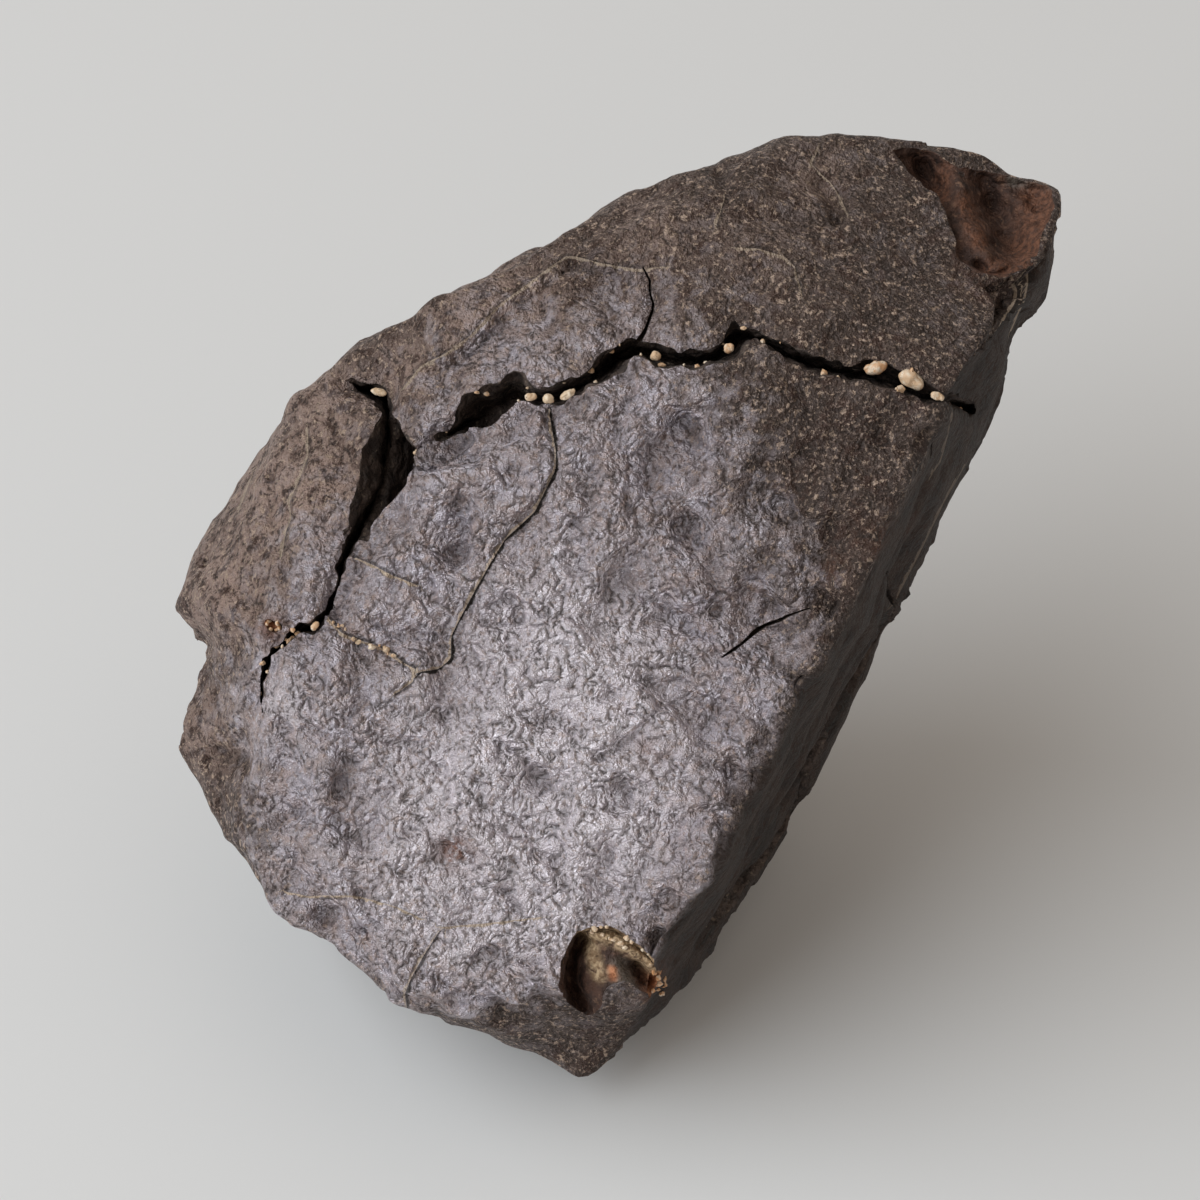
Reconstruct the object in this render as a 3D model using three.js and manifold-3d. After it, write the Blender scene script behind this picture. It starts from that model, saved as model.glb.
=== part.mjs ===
// A weathered chondrite meteorite: one blocky, cracked stone, with a few desert sand grains
// caught in its cracks. Millimetres, +Z up. It stands on a small flat spot, and the origin is on
// that spot, straight below the middle of the stone.
//
// The stone is drawn face on: x to the right, y to the top and z out of the broad face, measured
// from the middle of the stone. It is then leaned back onto the spot that it stands on.
import * as THREE from 'three';
import { ImprovedNoise } from 'three/addons/math/ImprovedNoise.js';
import { mergeVertices } from 'three/addons/utils/BufferGeometryUtils.js';
import Module from 'manifold-3d';

const wasm = await Module();
wasm.setup();
const noise = new ImprovedNoise();

// ---- Driving dimensions -----------------------------------------------------------------------

const LEAN_BACK = 48; // degrees that the broad face leans back from upright, at rest
const MIDDLE_HEIGHT = 27; // of the stone's middle above the ground
const MESH_DETAIL = 16; // divisions of the ball that the stone is shaped from
const FACE_DENSITY = 0.35; // how far its mesh crowds towards the broad face
const EDGE_REACH = 0.042; // how near to a flat's edge a mesh point is drawn onto it, per mm out

// The flats that the stone is broken and worn to: [facing x, y, z, distance from the middle].
const FLATS = {
  broad_face: [-0.12, -0.02, 0.99, 18.6],
  face_left_edge: [-0.58, -0.16, 0.8, 27.8],
  face_low_left_rim: [-0.46, -0.55, 0.7, 34.0],
  face_low_edge: [0.15, -0.85, 0.51, 34.0],
  upper_block: [-0.17, 0.52, 0.84, 24.8],
  upper_block_right: [0.12, 0.64, 0.76, 30.4],
  upper_block_crown: [-0.3, 0.82, 0.48, 28.8],
  left_block: [-0.6, 0.38, 0.7, 25.4],
  left_block_rim: [-0.82, 0.42, 0.38, 29.0],
  left_shoulder: [-0.88, -0.1, 0.46, 31.0],
  outline_left: [-1.0, -0.02, -0.05, 33.0],
  outline_left_top: [-0.86, 0.51, 0.0, 29.9],
  outline_top_left: [-0.66, 0.75, 0.0, 27.7],
  outline_top: [-0.46, 0.89, 0.0, 26.7],
  outline_crown: [-0.31, 0.95, 0.0, 30.8],
  outline_crown_right: [0.07, 1.0, 0.0, 38.0],
  outline_corner_top: [0.29, 0.96, 0.0, 42.3],
  outline_corner: [0.99, -0.12, 0.0, 32.6],
  outline_corner_low: [0.92, -0.38, 0.08, 23.4],
  right_side: [0.86, -0.47, 0.21, 20.7],
  outline_right: [0.88, -0.47, 0.0, 21.3],
  right_side_chip: [0.66, -0.36, 0.66, 26.4],
  outline_tip_right: [0.65, -0.76, 0.0, 27.6],
  under_tip: [-0.28, -0.95, 0.14, 36.4],
  outline_bottom: [-0.3, -0.95, -0.2, 34.0],
  outline_lower_left: [-0.62, -0.77, -0.2, 31.4],
  outline_left_low: [-0.88, -0.45, -0.15, 34.2],
  back: [0.08, 0.14, -0.99, 18.5],
  back_cheek: [-0.42, -0.1, -0.9, 21.4],
  back_hip: [0.34, 0.44, -0.83, 22.4],
  back_top: [-0.15, 0.72, -0.68, 25.0],
  back_crown: [-0.3, 0.9, -0.32, 28.2],
  back_left: [-0.8, 0.15, -0.58, 27.0],
  back_left_rim: [-0.95, 0.2, -0.25, 31.4],
  back_right: [0.72, 0.02, -0.69, 26.0],
  back_right_rim: [0.86, -0.32, -0.4, 23.6],
  back_low_left_rim: [-0.72, -0.6, -0.35, 31.0],
  back_low_left: [-0.56, -0.66, -0.5, 27.0],
  back_low_right: [0.46, -0.77, -0.44, 26.6],
  foot_front: [0.05, -0.88, -0.47, 27.8],
  foot_back: [-0.05, -0.52, -0.85, 28.2],
  foot_left: [-0.3, -0.7, -0.64, 27.4],
  foot_right: [0.25, -0.72, -0.65, 27.8],
};

// Waves over the whole surface: [wavelength, height].
const WAVES = [
  [17, 1.1],
  [6, 0.5],
];

// Single swellings, and hollows where the height is negative: [x, y, z, radius, height].
const SWELLINGS = {
  tip_point: [-1, -37, 6, 3.5, 1.8],
  side_layer_gap: [28.5, 8.5, 0, 5, -0.8],
  side_layer_middle: [21, -9, 0, 6, 0.5],
  side_layer_low: [12, -23, 0, 5, 0.5],
  left_ledge: [-33, 0.5, 5, 3.2, 0.6],
  left_knob: [-33, -12, 2, 3.2, 0.8],
  left_waist: [-32, -6, 6, 3.0, -1.2],
  hollow_mid_right: [12, -1, 19, 5, -0.9],
  hollow_top_middle: [-12, 4, 17, 4, -0.7],
  hollow_under_crack: [10, 11, 19, 5, -0.6],
  hollow_left: [-26, -13, 14, 4, -0.7],
  ridge_top: [-2, 9, 19, 4, 0.7],
  ridge_middle: [2, -12, 19, 6, 0.6],
  upper_block_hump: [12, 26, 12, 7, 0.9],
  back_hump: [6, 8, -18, 9, 1.5],
  back_hollow: [-10, 14, -17, 7, -1.7],
  back_left_hump: [-15, -5, -18, 7, 1.2],
  back_right_hollow: [14, -7, -17, 6, -1.4],
  back_left_hollow: [-25, 8, -10, 6, -1.3],
  back_crown_hollow: [-2, 26, -7, 6, -1.2],
  back_corner_hump: [20, 22, -8, 7, 1.1],
  side_hollow: [26, -2, -8, 6, -1.1],
  side_hump: [16, -16, -6, 6, 0.7],
};

// Cracks drawn on a side of the stone: how deep they go, and [u, v, half width] along them.
const CRACKS = {
  main_crack: {
    side: 'face',
    depth: 7.5,
    route: [
      [29.5, 15.0, 0.5], [27.0, 15.3, 0.6], [25.5, 15.7, 0.85], [23.8, 16.9, 1.05],
      [21.0, 17.8, 1.0], [18.9, 17.7, 0.7], [16.6, 18.3, 0.7], [14.6, 19.1, 0.6],
      [12.9, 20.1, 0.45], [11.2, 21.0, 0.9], [9.9, 19.4, 0.95], [8.1, 18.6, 0.7],
      [6.2, 18.6, 0.8], [4.1, 18.7, 1.0], [3.0, 19.4, 0.7], [1.2, 18.9, 1.0],
      [-0.2, 17.3, 0.9], [-2.0, 15.9, 0.95], [-3.7, 15.5, 0.95], [-5.4, 15.7, 0.9],
      [-7.7, 15.5, 1.7], [-10.0, 14.6, 1.7], [-11.6, 13.7, 0.9], [-13.2, 12.4, 0.35],
      [-15.5, 11.5, 0.3],
    ],
  },
  left_slot: {
    side: 'face',
    depth: 8.5,
    route: [
      [-19.4, 16.9, 0.3], [-18.0, 16.4, 0.85], [-16.5, 16.0, 0.9], [-15.9, 14.6, 0.5],
      [-16.1, 12.3, 1.3], [-16.7, 9.6, 1.6], [-17.7, 7.3, 1.2], [-18.9, 5.4, 0.8],
      [-19.6, 3.1, 0.5], [-20.2, 0.8, 0.4], [-20.9, -0.9, 0.4], [-22.0, -2.0, 0.6],
      [-23.9, -3.1, 0.45], [-25.3, -3.9, 0.45], [-25.7, -5.5, 0.45], [-26.2, -7.9, 0.2],
    ],
  },
  vein_crack: {
    side: 'face',
    depth: 2.0,
    route: [
      [-20.7, -1.4, 0.25], [-19.5, -2.9, 0.3], [-17.8, -3.5, 0.3], [-16.2, -4.3, 0.25],
      [-14.6, -5.4, 0.15],
    ],
  },
  step_crack: {
    side: 'face',
    depth: 2.0,
    route: [
      [9.5, -4.3, 0.15], [11.3, -3.4, 0.3], [13.5, -2.3, 0.3], [15.8, -0.8, 0.2],
      [17.6, -1.4, 0.15],
    ],
  },
  block_crack: {
    side: 'face',
    depth: 2.5,
    route: [[3.2, 25.5, 0.15], [3.9, 23.0, 0.2], [3.5, 21.0, 0.25], [3.0, 19.4, 0.4]],
  },
  left_notch: {
    side: 'face',
    depth: 3.0,
    route: [[-24.2, -3.2, 0.3], [-27.0, -3.9, 0.35], [-30.0, -3.6, 0.5], [-35.0, -3.2, 1.0]],
  },
  side_fissure: {
    side: 'right',
    depth: 4.5,
    route: [
      [25.5, 19.0, 0.3], [23.6, 17.0, 0.35], [20.2, 13.4, 0.4], [16.4, 10.8, 0.4],
      [12.9, 7.8, 0.4], [10.7, 3.4, 0.4], [7.6, 1.2, 0.5], [5.3, 1.2, 0.45],
      [2.0, 3.3, 0.4], [-0.3, 2.8, 0.5], [-3.5, 1.4, 0.45], [-6.3, 0.2, 0.35],
      [-8.4, -0.4, 0.4], [-10.6, -0.2, 0.5], [-14.2, 2.8, 0.5], [-17.0, 4.8, 0.45],
      [-19.1, 5.9, 0.4], [-22.0, 6.9, 0.3], [-26.0, 8.4, 0.2],
    ],
  },
  back_crack: {
    side: 'back',
    depth: 3.5,
    route: [
      [-26.0, 17.0, 0.4], [-21.0, 14.0, 0.45], [-16.0, 14.8, 0.3], [-11.0, 11.0, 0.4],
      [-6.0, 10.2, 0.3], [-1.0, 6.0, 0.35], [4.0, 5.4, 0.25], [8.0, 2.0, 0.15],
    ],
  },
};
const LIP_DROP = 0.7; // how far the surface rounds off into a crack
const LIP_WIDTH = 1.6;

// Ledges: the surface drops beside the route, to its left, and rises again over the run.
const LEDGES = {
  upper_block_ledge: {
    side: 'face',
    drop: 0.8,
    run: 4.5,
    route: [
      [-0.5, 26.6], [-2.8, 26.3], [-5.4, 25.2], [-8.0, 23.2], [-10.5, 20.4], [-12.6, 19.0],
      [-14.4, 17.8], [-15.9, 16.4],
    ],
  },
};

// Pieces broken out: [x, y, z of the middle, radii x, y, z, turn in degrees].
const CHIPS = {
  low_pocket: [1.0, -28.2, 19.6, 3.6, 2.8, 4.4, -25],
  low_pocket_corner: [4.2, -29.4, 17.5, 2.2, 1.7, 3.0, 20],
  corner_break: [33.4, 28.8, 13.0, 4.2, 6.0, 5.6, -25],
  corner_break_top: [29.8, 32.6, 10.6, 3.4, 2.6, 4.2, 20],
  corner_hole: [27.0, 33.6, 9.0, 1.3, 2.0, 4.2, 35],
};

// Sand grains caught in the cracks: [x, y, depth of its middle, length, width, turn in degrees].
const GRAINS = [
  [-17.25, 16.2, 0.0, 1.3, 0.65, -14],
  [-5.3, 15.6, 0.1, 1.0, 0.7, 0],
  [-3.95, 15.45, 0.0, 0.95, 0.9, 0],
  [-2.45, 15.75, 0.0, 1.4, 0.7, 35],
  [4.25, 18.75, 0.3, 0.85, 0.85, 0],
  [9.9, 19.3, 0.4, 0.85, 0.85, 30],
  [21.1, 17.75, 0.0, 2.0, 1.15, 14],
  [23.8, 16.85, 0.1, 2.2, 1.3, -26],
  [25.7, 15.55, 0.3, 1.1, 0.7, -22],
  [-22.0, -2.0, 0.1, 0.9, 0.55, 48],
];
const GRAIN_THICKNESS = 0.9; // of a grain's width
const GRAIN_ROUGHNESS = 0.12; // of its radius

// ---- Drawing views ----------------------------------------------------------------------------

// Each side of the stone is drawn flat, with u to the right, v to the top and `out` towards the
// viewer.
function view(u, v) {
  const right = new THREE.Vector3(...u).normalize();
  const up = new THREE.Vector3(...v).normalize();
  return { right, up, out: right.clone().cross(up) };
}
const SIDES = {
  face: view([1, 0, 0], [0, 1, 0]),
  back: view([-1, 0, 0], [0, 1, 0]),
  right: view([0.47, 0.88, 0], [0, 0, 1]),
};

function onSide({ right, up, out }, u, v, height) {
  return new THREE.Vector3()
    .addScaledVector(right, u)
    .addScaledVector(up, v)
    .addScaledVector(out, height);
}

// ---- The surface ------------------------------------------------------------------------------

const flats = Object.values(FLATS).map(([x, y, z, distance]) => ({
  facing: new THREE.Vector3(x, y, z).normalize(),
  distance,
}));

// The point of the flats in one direction from the middle, drawn onto an edge that it is near.
function onFlats(direction) {
  let flat = null;
  let nearest = Infinity;
  for (const other of flats) {
    const slant = direction.dot(other.facing);
    if (slant > 0.01 && other.distance / slant < nearest) {
      nearest = other.distance / slant;
      flat = other;
    }
  }
  const point = direction.clone().multiplyScalar(nearest);
  let shift = null;
  let shortest = EDGE_REACH * nearest;
  for (const other of flats) {
    if (other !== flat) {
      const across = other.facing.clone()
        .addScaledVector(flat.facing, -other.facing.dot(flat.facing));
      const away = (other.distance - point.dot(other.facing)) / across.length();
      if (away < shortest) {
        shortest = away;
        shift = across.setLength(away);
      }
    }
  }
  return shift ? point.add(shift) : point;
}

function waves(point) {
  return WAVES.reduce((sum, [length, height]) => (
    sum + height * noise.noise(point.x / length, point.y / length, point.z / length)
  ), 0);
}

function swellings(point) {
  return Object.values(SWELLINGS).reduce((sum, [x, y, z, radius, height]) => {
    const away = point.distanceToSquared(new THREE.Vector3(x, y, z)) / radius ** 2;
    return sum + height * Math.exp(-away);
  }, 0);
}

// Distance from a point to the edge of a crack, on the side that it is drawn on.
function distanceToCrack(u, v, route) {
  let nearest = Infinity;
  for (let i = 1; i < route.length; i += 1) {
    const [au, av, aHalf] = route[i - 1];
    const [bu, bv] = route[i];
    const du = bu - au;
    const dv = bv - av;
    const along = ((u - au) * du + (v - av) * dv) / (du * du + dv * dv);
    const share = THREE.MathUtils.clamp(along, 0, 1);
    const away = Math.hypot(u - au - share * du, v - av - share * dv) - aHalf;
    nearest = Math.min(nearest, Math.max(away, 0));
  }
  return nearest;
}

function lips(point) {
  let drop = 0;
  for (const { side, depth, route } of Object.values(CRACKS)) {
    const { right, up, out } = SIDES[side];
    if (point.dot(out) > 0) {
      const away = distanceToCrack(point.dot(right), point.dot(up), route);
      const weight = Math.min(depth / CRACKS.main_crack.depth, 1);
      drop = Math.max(drop, weight * LIP_DROP * Math.exp(-((away / LIP_WIDTH) ** 2)));
    }
  }
  return -drop;
}

function surfacePoint(direction) {
  const point = onFlats(direction);
  const raised = waves(point) + swellings(point) + lips(point);
  return point.setLength(point.length() + raised);
}

// The height of the surface above a point of a side's drawing.
const FURTHEST = 60;
function surfaceHeight(side, u, v) {
  let low = -5;
  let high = FURTHEST;
  for (let step = 0; step < 30; step += 1) {
    const height = (low + high) / 2;
    const point = onSide(side, u, v, height);
    const surface = surfacePoint(point.clone().normalize());
    if (point.length() < surface.length()) low = height;
    else high = height;
  }
  return low;
}

// ---- Solids -----------------------------------------------------------------------------------

function solidOf(geometry) {
  const bare = geometry.clone();
  bare.deleteAttribute('normal');
  bare.deleteAttribute('uv');
  const merged = mergeVertices(bare, 1e-4);
  return new wasm.Manifold(new wasm.Mesh({
    numProp: 3,
    vertProperties: merged.attributes.position.array,
    triVerts: new Uint32Array(merged.index.array),
  }));
}

function geometryOf(solid) {
  const { vertProperties, triVerts } = solid.getMesh();
  return new THREE.BufferGeometry()
    .setAttribute('position', new THREE.BufferAttribute(vertProperties, 3))
    .setIndex(new THREE.BufferAttribute(triVerts, 1));
}

// Moves each point of a geometry to where `move` sends it.
function reshape(geometry, move) {
  const place = geometry.attributes.position;
  for (let i = 0; i < place.count; i += 1) {
    const point = move(new THREE.Vector3().fromBufferAttribute(place, i));
    place.setXYZ(i, point.x, point.y, point.z);
  }
  return geometry;
}

function uncrackedStone() {
  return solidOf(reshape(new THREE.IcosahedronGeometry(1, MESH_DETAIL), (point) => {
    point.z += FACE_DENSITY;
    return surfacePoint(point.normalize());
  }));
}

// Sweeps a section along a route of [u, v, ...] on a side. The section's corners are
// [across to the left, height]; sectionAt(i, heightAt) gives them at one point of the route.
function sweep({ side, route }, sectionAt) {
  const drawing = SIDES[side];
  const corners = [];
  const last = route.length - 1;
  route.forEach(([u, v], i) => {
    const [au, av] = route[Math.max(i - 1, 0)];
    const [bu, bv] = route[Math.min(i + 1, last)];
    const length = Math.hypot(bu - au, bv - av);
    const place = (across) => [
      u - (across * (bv - av)) / length,
      v + (across * (bu - au)) / length,
    ];
    const heightAt = (across) => surfaceHeight(drawing, ...place(across));
    for (const [across, height] of sectionAt(i, heightAt)) {
      corners.push(...onSide(drawing, ...place(across), height).toArray());
    }
  });
  const ring = corners.length / 3 / route.length;
  const faces = [];
  for (let i = 0; i < last; i += 1) {
    for (let k = 0; k < ring; k += 1) {
      const a = i * ring + k;
      const b = i * ring + ((k + 1) % ring);
      faces.push(a, a + ring, b, b, a + ring, b + ring);
    }
  }
  const end = last * ring;
  for (let k = 1; k < ring - 1; k += 1) {
    faces.push(0, k, k + 1);
    faces.push(end, end + k + 1, end + k);
  }
  return solidOf(
    new THREE.BufferGeometry()
      .setAttribute('position', new THREE.BufferAttribute(new Float32Array(corners), 3))
      .setIndex(faces),
  );
}

// What a crack takes away: straight walls above the surface, and a wedge below it.
const CUT_ABOVE = 3;
const CRACK_BOTTOM = 0.15; // half width of a crack at its deepest
function crackCut(crack) {
  return sweep(crack, (i, heightAt) => {
    const half = crack.route[i][2];
    const top = heightAt(0);
    return [
      [half, top + CUT_ABOVE],
      [half, top],
      [CRACK_BOTTOM, top - crack.depth],
      [-CRACK_BOTTOM, top - crack.depth],
      [-half, top],
      [-half, top + CUT_ABOVE],
    ];
  });
}

function ledgeCut(ledge) {
  return sweep(ledge, (i, heightAt) => {
    const fade = Math.sin((Math.PI * i) / (ledge.route.length - 1));
    const top = heightAt(0);
    return [
      [-ledge.run, heightAt(-ledge.run) + CUT_ABOVE],
      [0, top + CUT_ABOVE],
      [0, top - ledge.drop * fade],
      [-ledge.run, heightAt(-ledge.run)],
    ];
  });
}

// A lumpy ellipsoid: its radii, its turn about z, and how uneven it is.
function pebble(detail, radii, turn, roughness, at) {
  const ball = reshape(new THREE.IcosahedronGeometry(1, detail), (point) => {
    const seed = point.clone().multiplyScalar(1.7).add(at);
    const uneven = 1 + roughness * noise.noise(seed.x, seed.y, seed.z);
    return point.multiplyScalar(uneven).multiply(radii);
  });
  return ball
    .rotateZ(THREE.MathUtils.degToRad(turn))
    .translate(at.x, at.y, at.z);
}

const CHIP_ROUGHNESS = 0.5;
function chip([x, y, z, rx, ry, rz, turn]) {
  const radii = new THREE.Vector3(rx, ry, rz);
  return solidOf(pebble(2, radii, turn, CHIP_ROUGHNESS, new THREE.Vector3(x, y, z)));
}

// ---- The meteorite ----------------------------------------------------------------------------

const DESERT_VARNISH = new THREE.MeshStandardMaterial({
  color: 0x4a413d,
  roughness: 0.55,
  metalness: 0,
});
const DESERT_SAND = new THREE.MeshStandardMaterial({
  color: 0xc9a878,
  roughness: 0.8,
  metalness: 0,
});

const pose = new THREE.Group();
pose.rotation.x = THREE.MathUtils.degToRad(LEAN_BACK);
pose.position.z = MIDDLE_HEIGHT;
pose.updateMatrixWorld(true);

// The ground trims the stone to the flat spot that it stands on.
function groundBlock() {
  const size = 200;
  const block = new THREE.BoxGeometry(size, size, size).translate(0, 0, -size / 2);
  return solidOf(block.applyMatrix4(pose.matrixWorld.clone().invert()));
}

function makeStone() {
  let solid = uncrackedStone();
  for (const ledge of Object.values(LEDGES)) solid = solid.subtract(ledgeCut(ledge));
  for (const crack of Object.values(CRACKS)) solid = solid.subtract(crackCut(crack));
  for (const broken of Object.values(CHIPS)) solid = solid.subtract(chip(broken));
  solid = solid.subtract(groundBlock());
  const stone = new THREE.Mesh(geometryOf(solid), DESERT_VARNISH);
  stone.name = 'stone';
  return stone;
}

function makeGrain([x, y, depth, length, width, turn], i) {
  const radii = new THREE.Vector3(length, width, width * GRAIN_THICKNESS).divideScalar(2);
  const at = new THREE.Vector3(x, y, surfaceHeight(SIDES.face, x, y) - depth);
  const grain = new THREE.Mesh(pebble(1, radii, turn, GRAIN_ROUGHNESS, at), DESERT_SAND);
  grain.name = `sand_grain_${i + 1}`;
  return grain;
}

pose.add(makeStone(), ...GRAINS.map(makeGrain));

const meteorite = new THREE.Group();
meteorite.add(pose);

export default meteorite;
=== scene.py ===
"""Desert meteorite: a varnished chondrite that rests on a small flat, with sand in its cracks."""

import math

import bpy
import numpy as np
from mathutils import Matrix, Vector, noise
from mathutils.bvhtree import BVHTree


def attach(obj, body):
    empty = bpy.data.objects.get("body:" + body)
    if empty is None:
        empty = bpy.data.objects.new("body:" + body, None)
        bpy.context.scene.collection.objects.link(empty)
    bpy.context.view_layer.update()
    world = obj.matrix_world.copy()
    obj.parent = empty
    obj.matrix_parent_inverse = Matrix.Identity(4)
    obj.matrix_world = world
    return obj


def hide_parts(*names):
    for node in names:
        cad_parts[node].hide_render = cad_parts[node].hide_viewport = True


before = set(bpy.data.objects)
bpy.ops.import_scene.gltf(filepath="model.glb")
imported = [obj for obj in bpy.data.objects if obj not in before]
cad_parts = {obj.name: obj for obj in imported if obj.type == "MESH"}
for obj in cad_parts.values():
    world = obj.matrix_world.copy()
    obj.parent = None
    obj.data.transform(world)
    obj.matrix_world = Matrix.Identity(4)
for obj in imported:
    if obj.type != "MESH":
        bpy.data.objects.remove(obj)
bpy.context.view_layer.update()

# The facets lean by a noise table that would follow the clock if it weren't set.
NOISE_TABLE = 12
noise.seed_set(NOISE_TABLE)

# The stone is shaped lying face up, in millimetres: x to the right, y up along its broad face,
# z out of that face. At the end it is leaned back and stood on the ground.
MM = 0.001
LEAN_BACK = math.radians(48)
MIDDLE_HEIGHT = 27
STAND = (
    Matrix.Scale(MM, 4)
    @ Matrix.Translation((0, 0, MIDDLE_HEIGHT))
    @ Matrix.Rotation(LEAN_BACK, 4, "X")
)
LAY_DOWN = STAND.inverted()
GROUND = [0, -math.sin(LEAN_BACK), -math.cos(LEAN_BACK), MIDDLE_HEIGHT]

# ---- Shape ------------------------------------------------------------------------------------

# Flats of the block: [facing x, y, z, distance from the middle].
FLATS = {
    "broad_face": [-0.12, -0.02, 0.99, 18.6],
    "face_left_edge": [-0.58, -0.16, 0.8, 27.8],
    "face_low_left_rim": [-0.46, -0.55, 0.7, 34.0],
    "face_low_edge": [0.15, -0.85, 0.51, 34.4],
    "upper_block": [-0.17, 0.52, 0.84, 24.8],
    "upper_block_right": [0.12, 0.64, 0.76, 30.4],
    "upper_block_crown": [-0.3, 0.82, 0.48, 28.8],
    "left_block": [-0.6, 0.38, 0.7, 25.4],
    "left_block_rim": [-0.82, 0.42, 0.38, 29.0],
    "left_shoulder": [-0.88, -0.1, 0.46, 31.0],
    "outline_left": [-1.0, -0.02, -0.05, 33.0],
    "outline_left_top": [-0.86, 0.51, 0.0, 29.9],
    "outline_top_left": [-0.66, 0.75, 0.0, 27.7],
    "outline_top": [-0.46, 0.89, 0.0, 26.7],
    "outline_crown": [-0.31, 0.95, 0.0, 30.8],
    "outline_crown_right": [0.07, 1.0, 0.0, 38.0],
    "outline_corner_top": [0.29, 0.96, 0.0, 42.3],
    "outline_corner": [0.99, -0.12, 0.0, 32.6],
    "outline_corner_low": [0.92, -0.38, 0.08, 23.4],
    "right_side": [0.86, -0.47, 0.21, 20.7],
    "outline_right": [0.88, -0.47, 0.0, 21.3],
    "right_side_chip": [0.66, -0.36, 0.66, 26.4],
    "outline_tip_right": [0.65, -0.76, 0.0, 27.6],
    "under_tip": [-0.28, -0.95, 0.14, 36.4],
    "outline_bottom": [-0.3, -0.95, -0.2, 34.0],
    "outline_lower_left": [-0.62, -0.77, -0.2, 31.4],
    "outline_left_low": [-0.88, -0.45, -0.15, 34.2],
    "back": [0.08, 0.14, -0.99, 18.5],
    "back_cheek": [-0.42, -0.1, -0.9, 21.4],
    "back_hip": [0.34, 0.44, -0.83, 22.4],
    "back_top": [-0.15, 0.72, -0.68, 25.0],
    "back_crown": [-0.3, 0.9, -0.32, 28.2],
    "back_left": [-0.8, 0.15, -0.58, 27.0],
    "back_left_rim": [-0.95, 0.2, -0.25, 31.4],
    "back_right": [0.72, 0.02, -0.69, 26.0],
    "back_right_rim": [0.86, -0.32, -0.4, 23.6],
    "back_low_left_rim": [-0.72, -0.6, -0.35, 31.0],
    "back_low_left": [-0.56, -0.66, -0.5, 27.0],
    "back_low_right": [0.46, -0.77, -0.44, 26.6],
    "foot_front": [0.05, -0.88, -0.47, 27.8],
    "foot_back": [-0.05, -0.52, -0.85, 28.2],
    "foot_left": [-0.3, -0.7, -0.64, 27.4],
    "foot_right": [0.25, -0.72, -0.65, 27.8],
}

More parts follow.
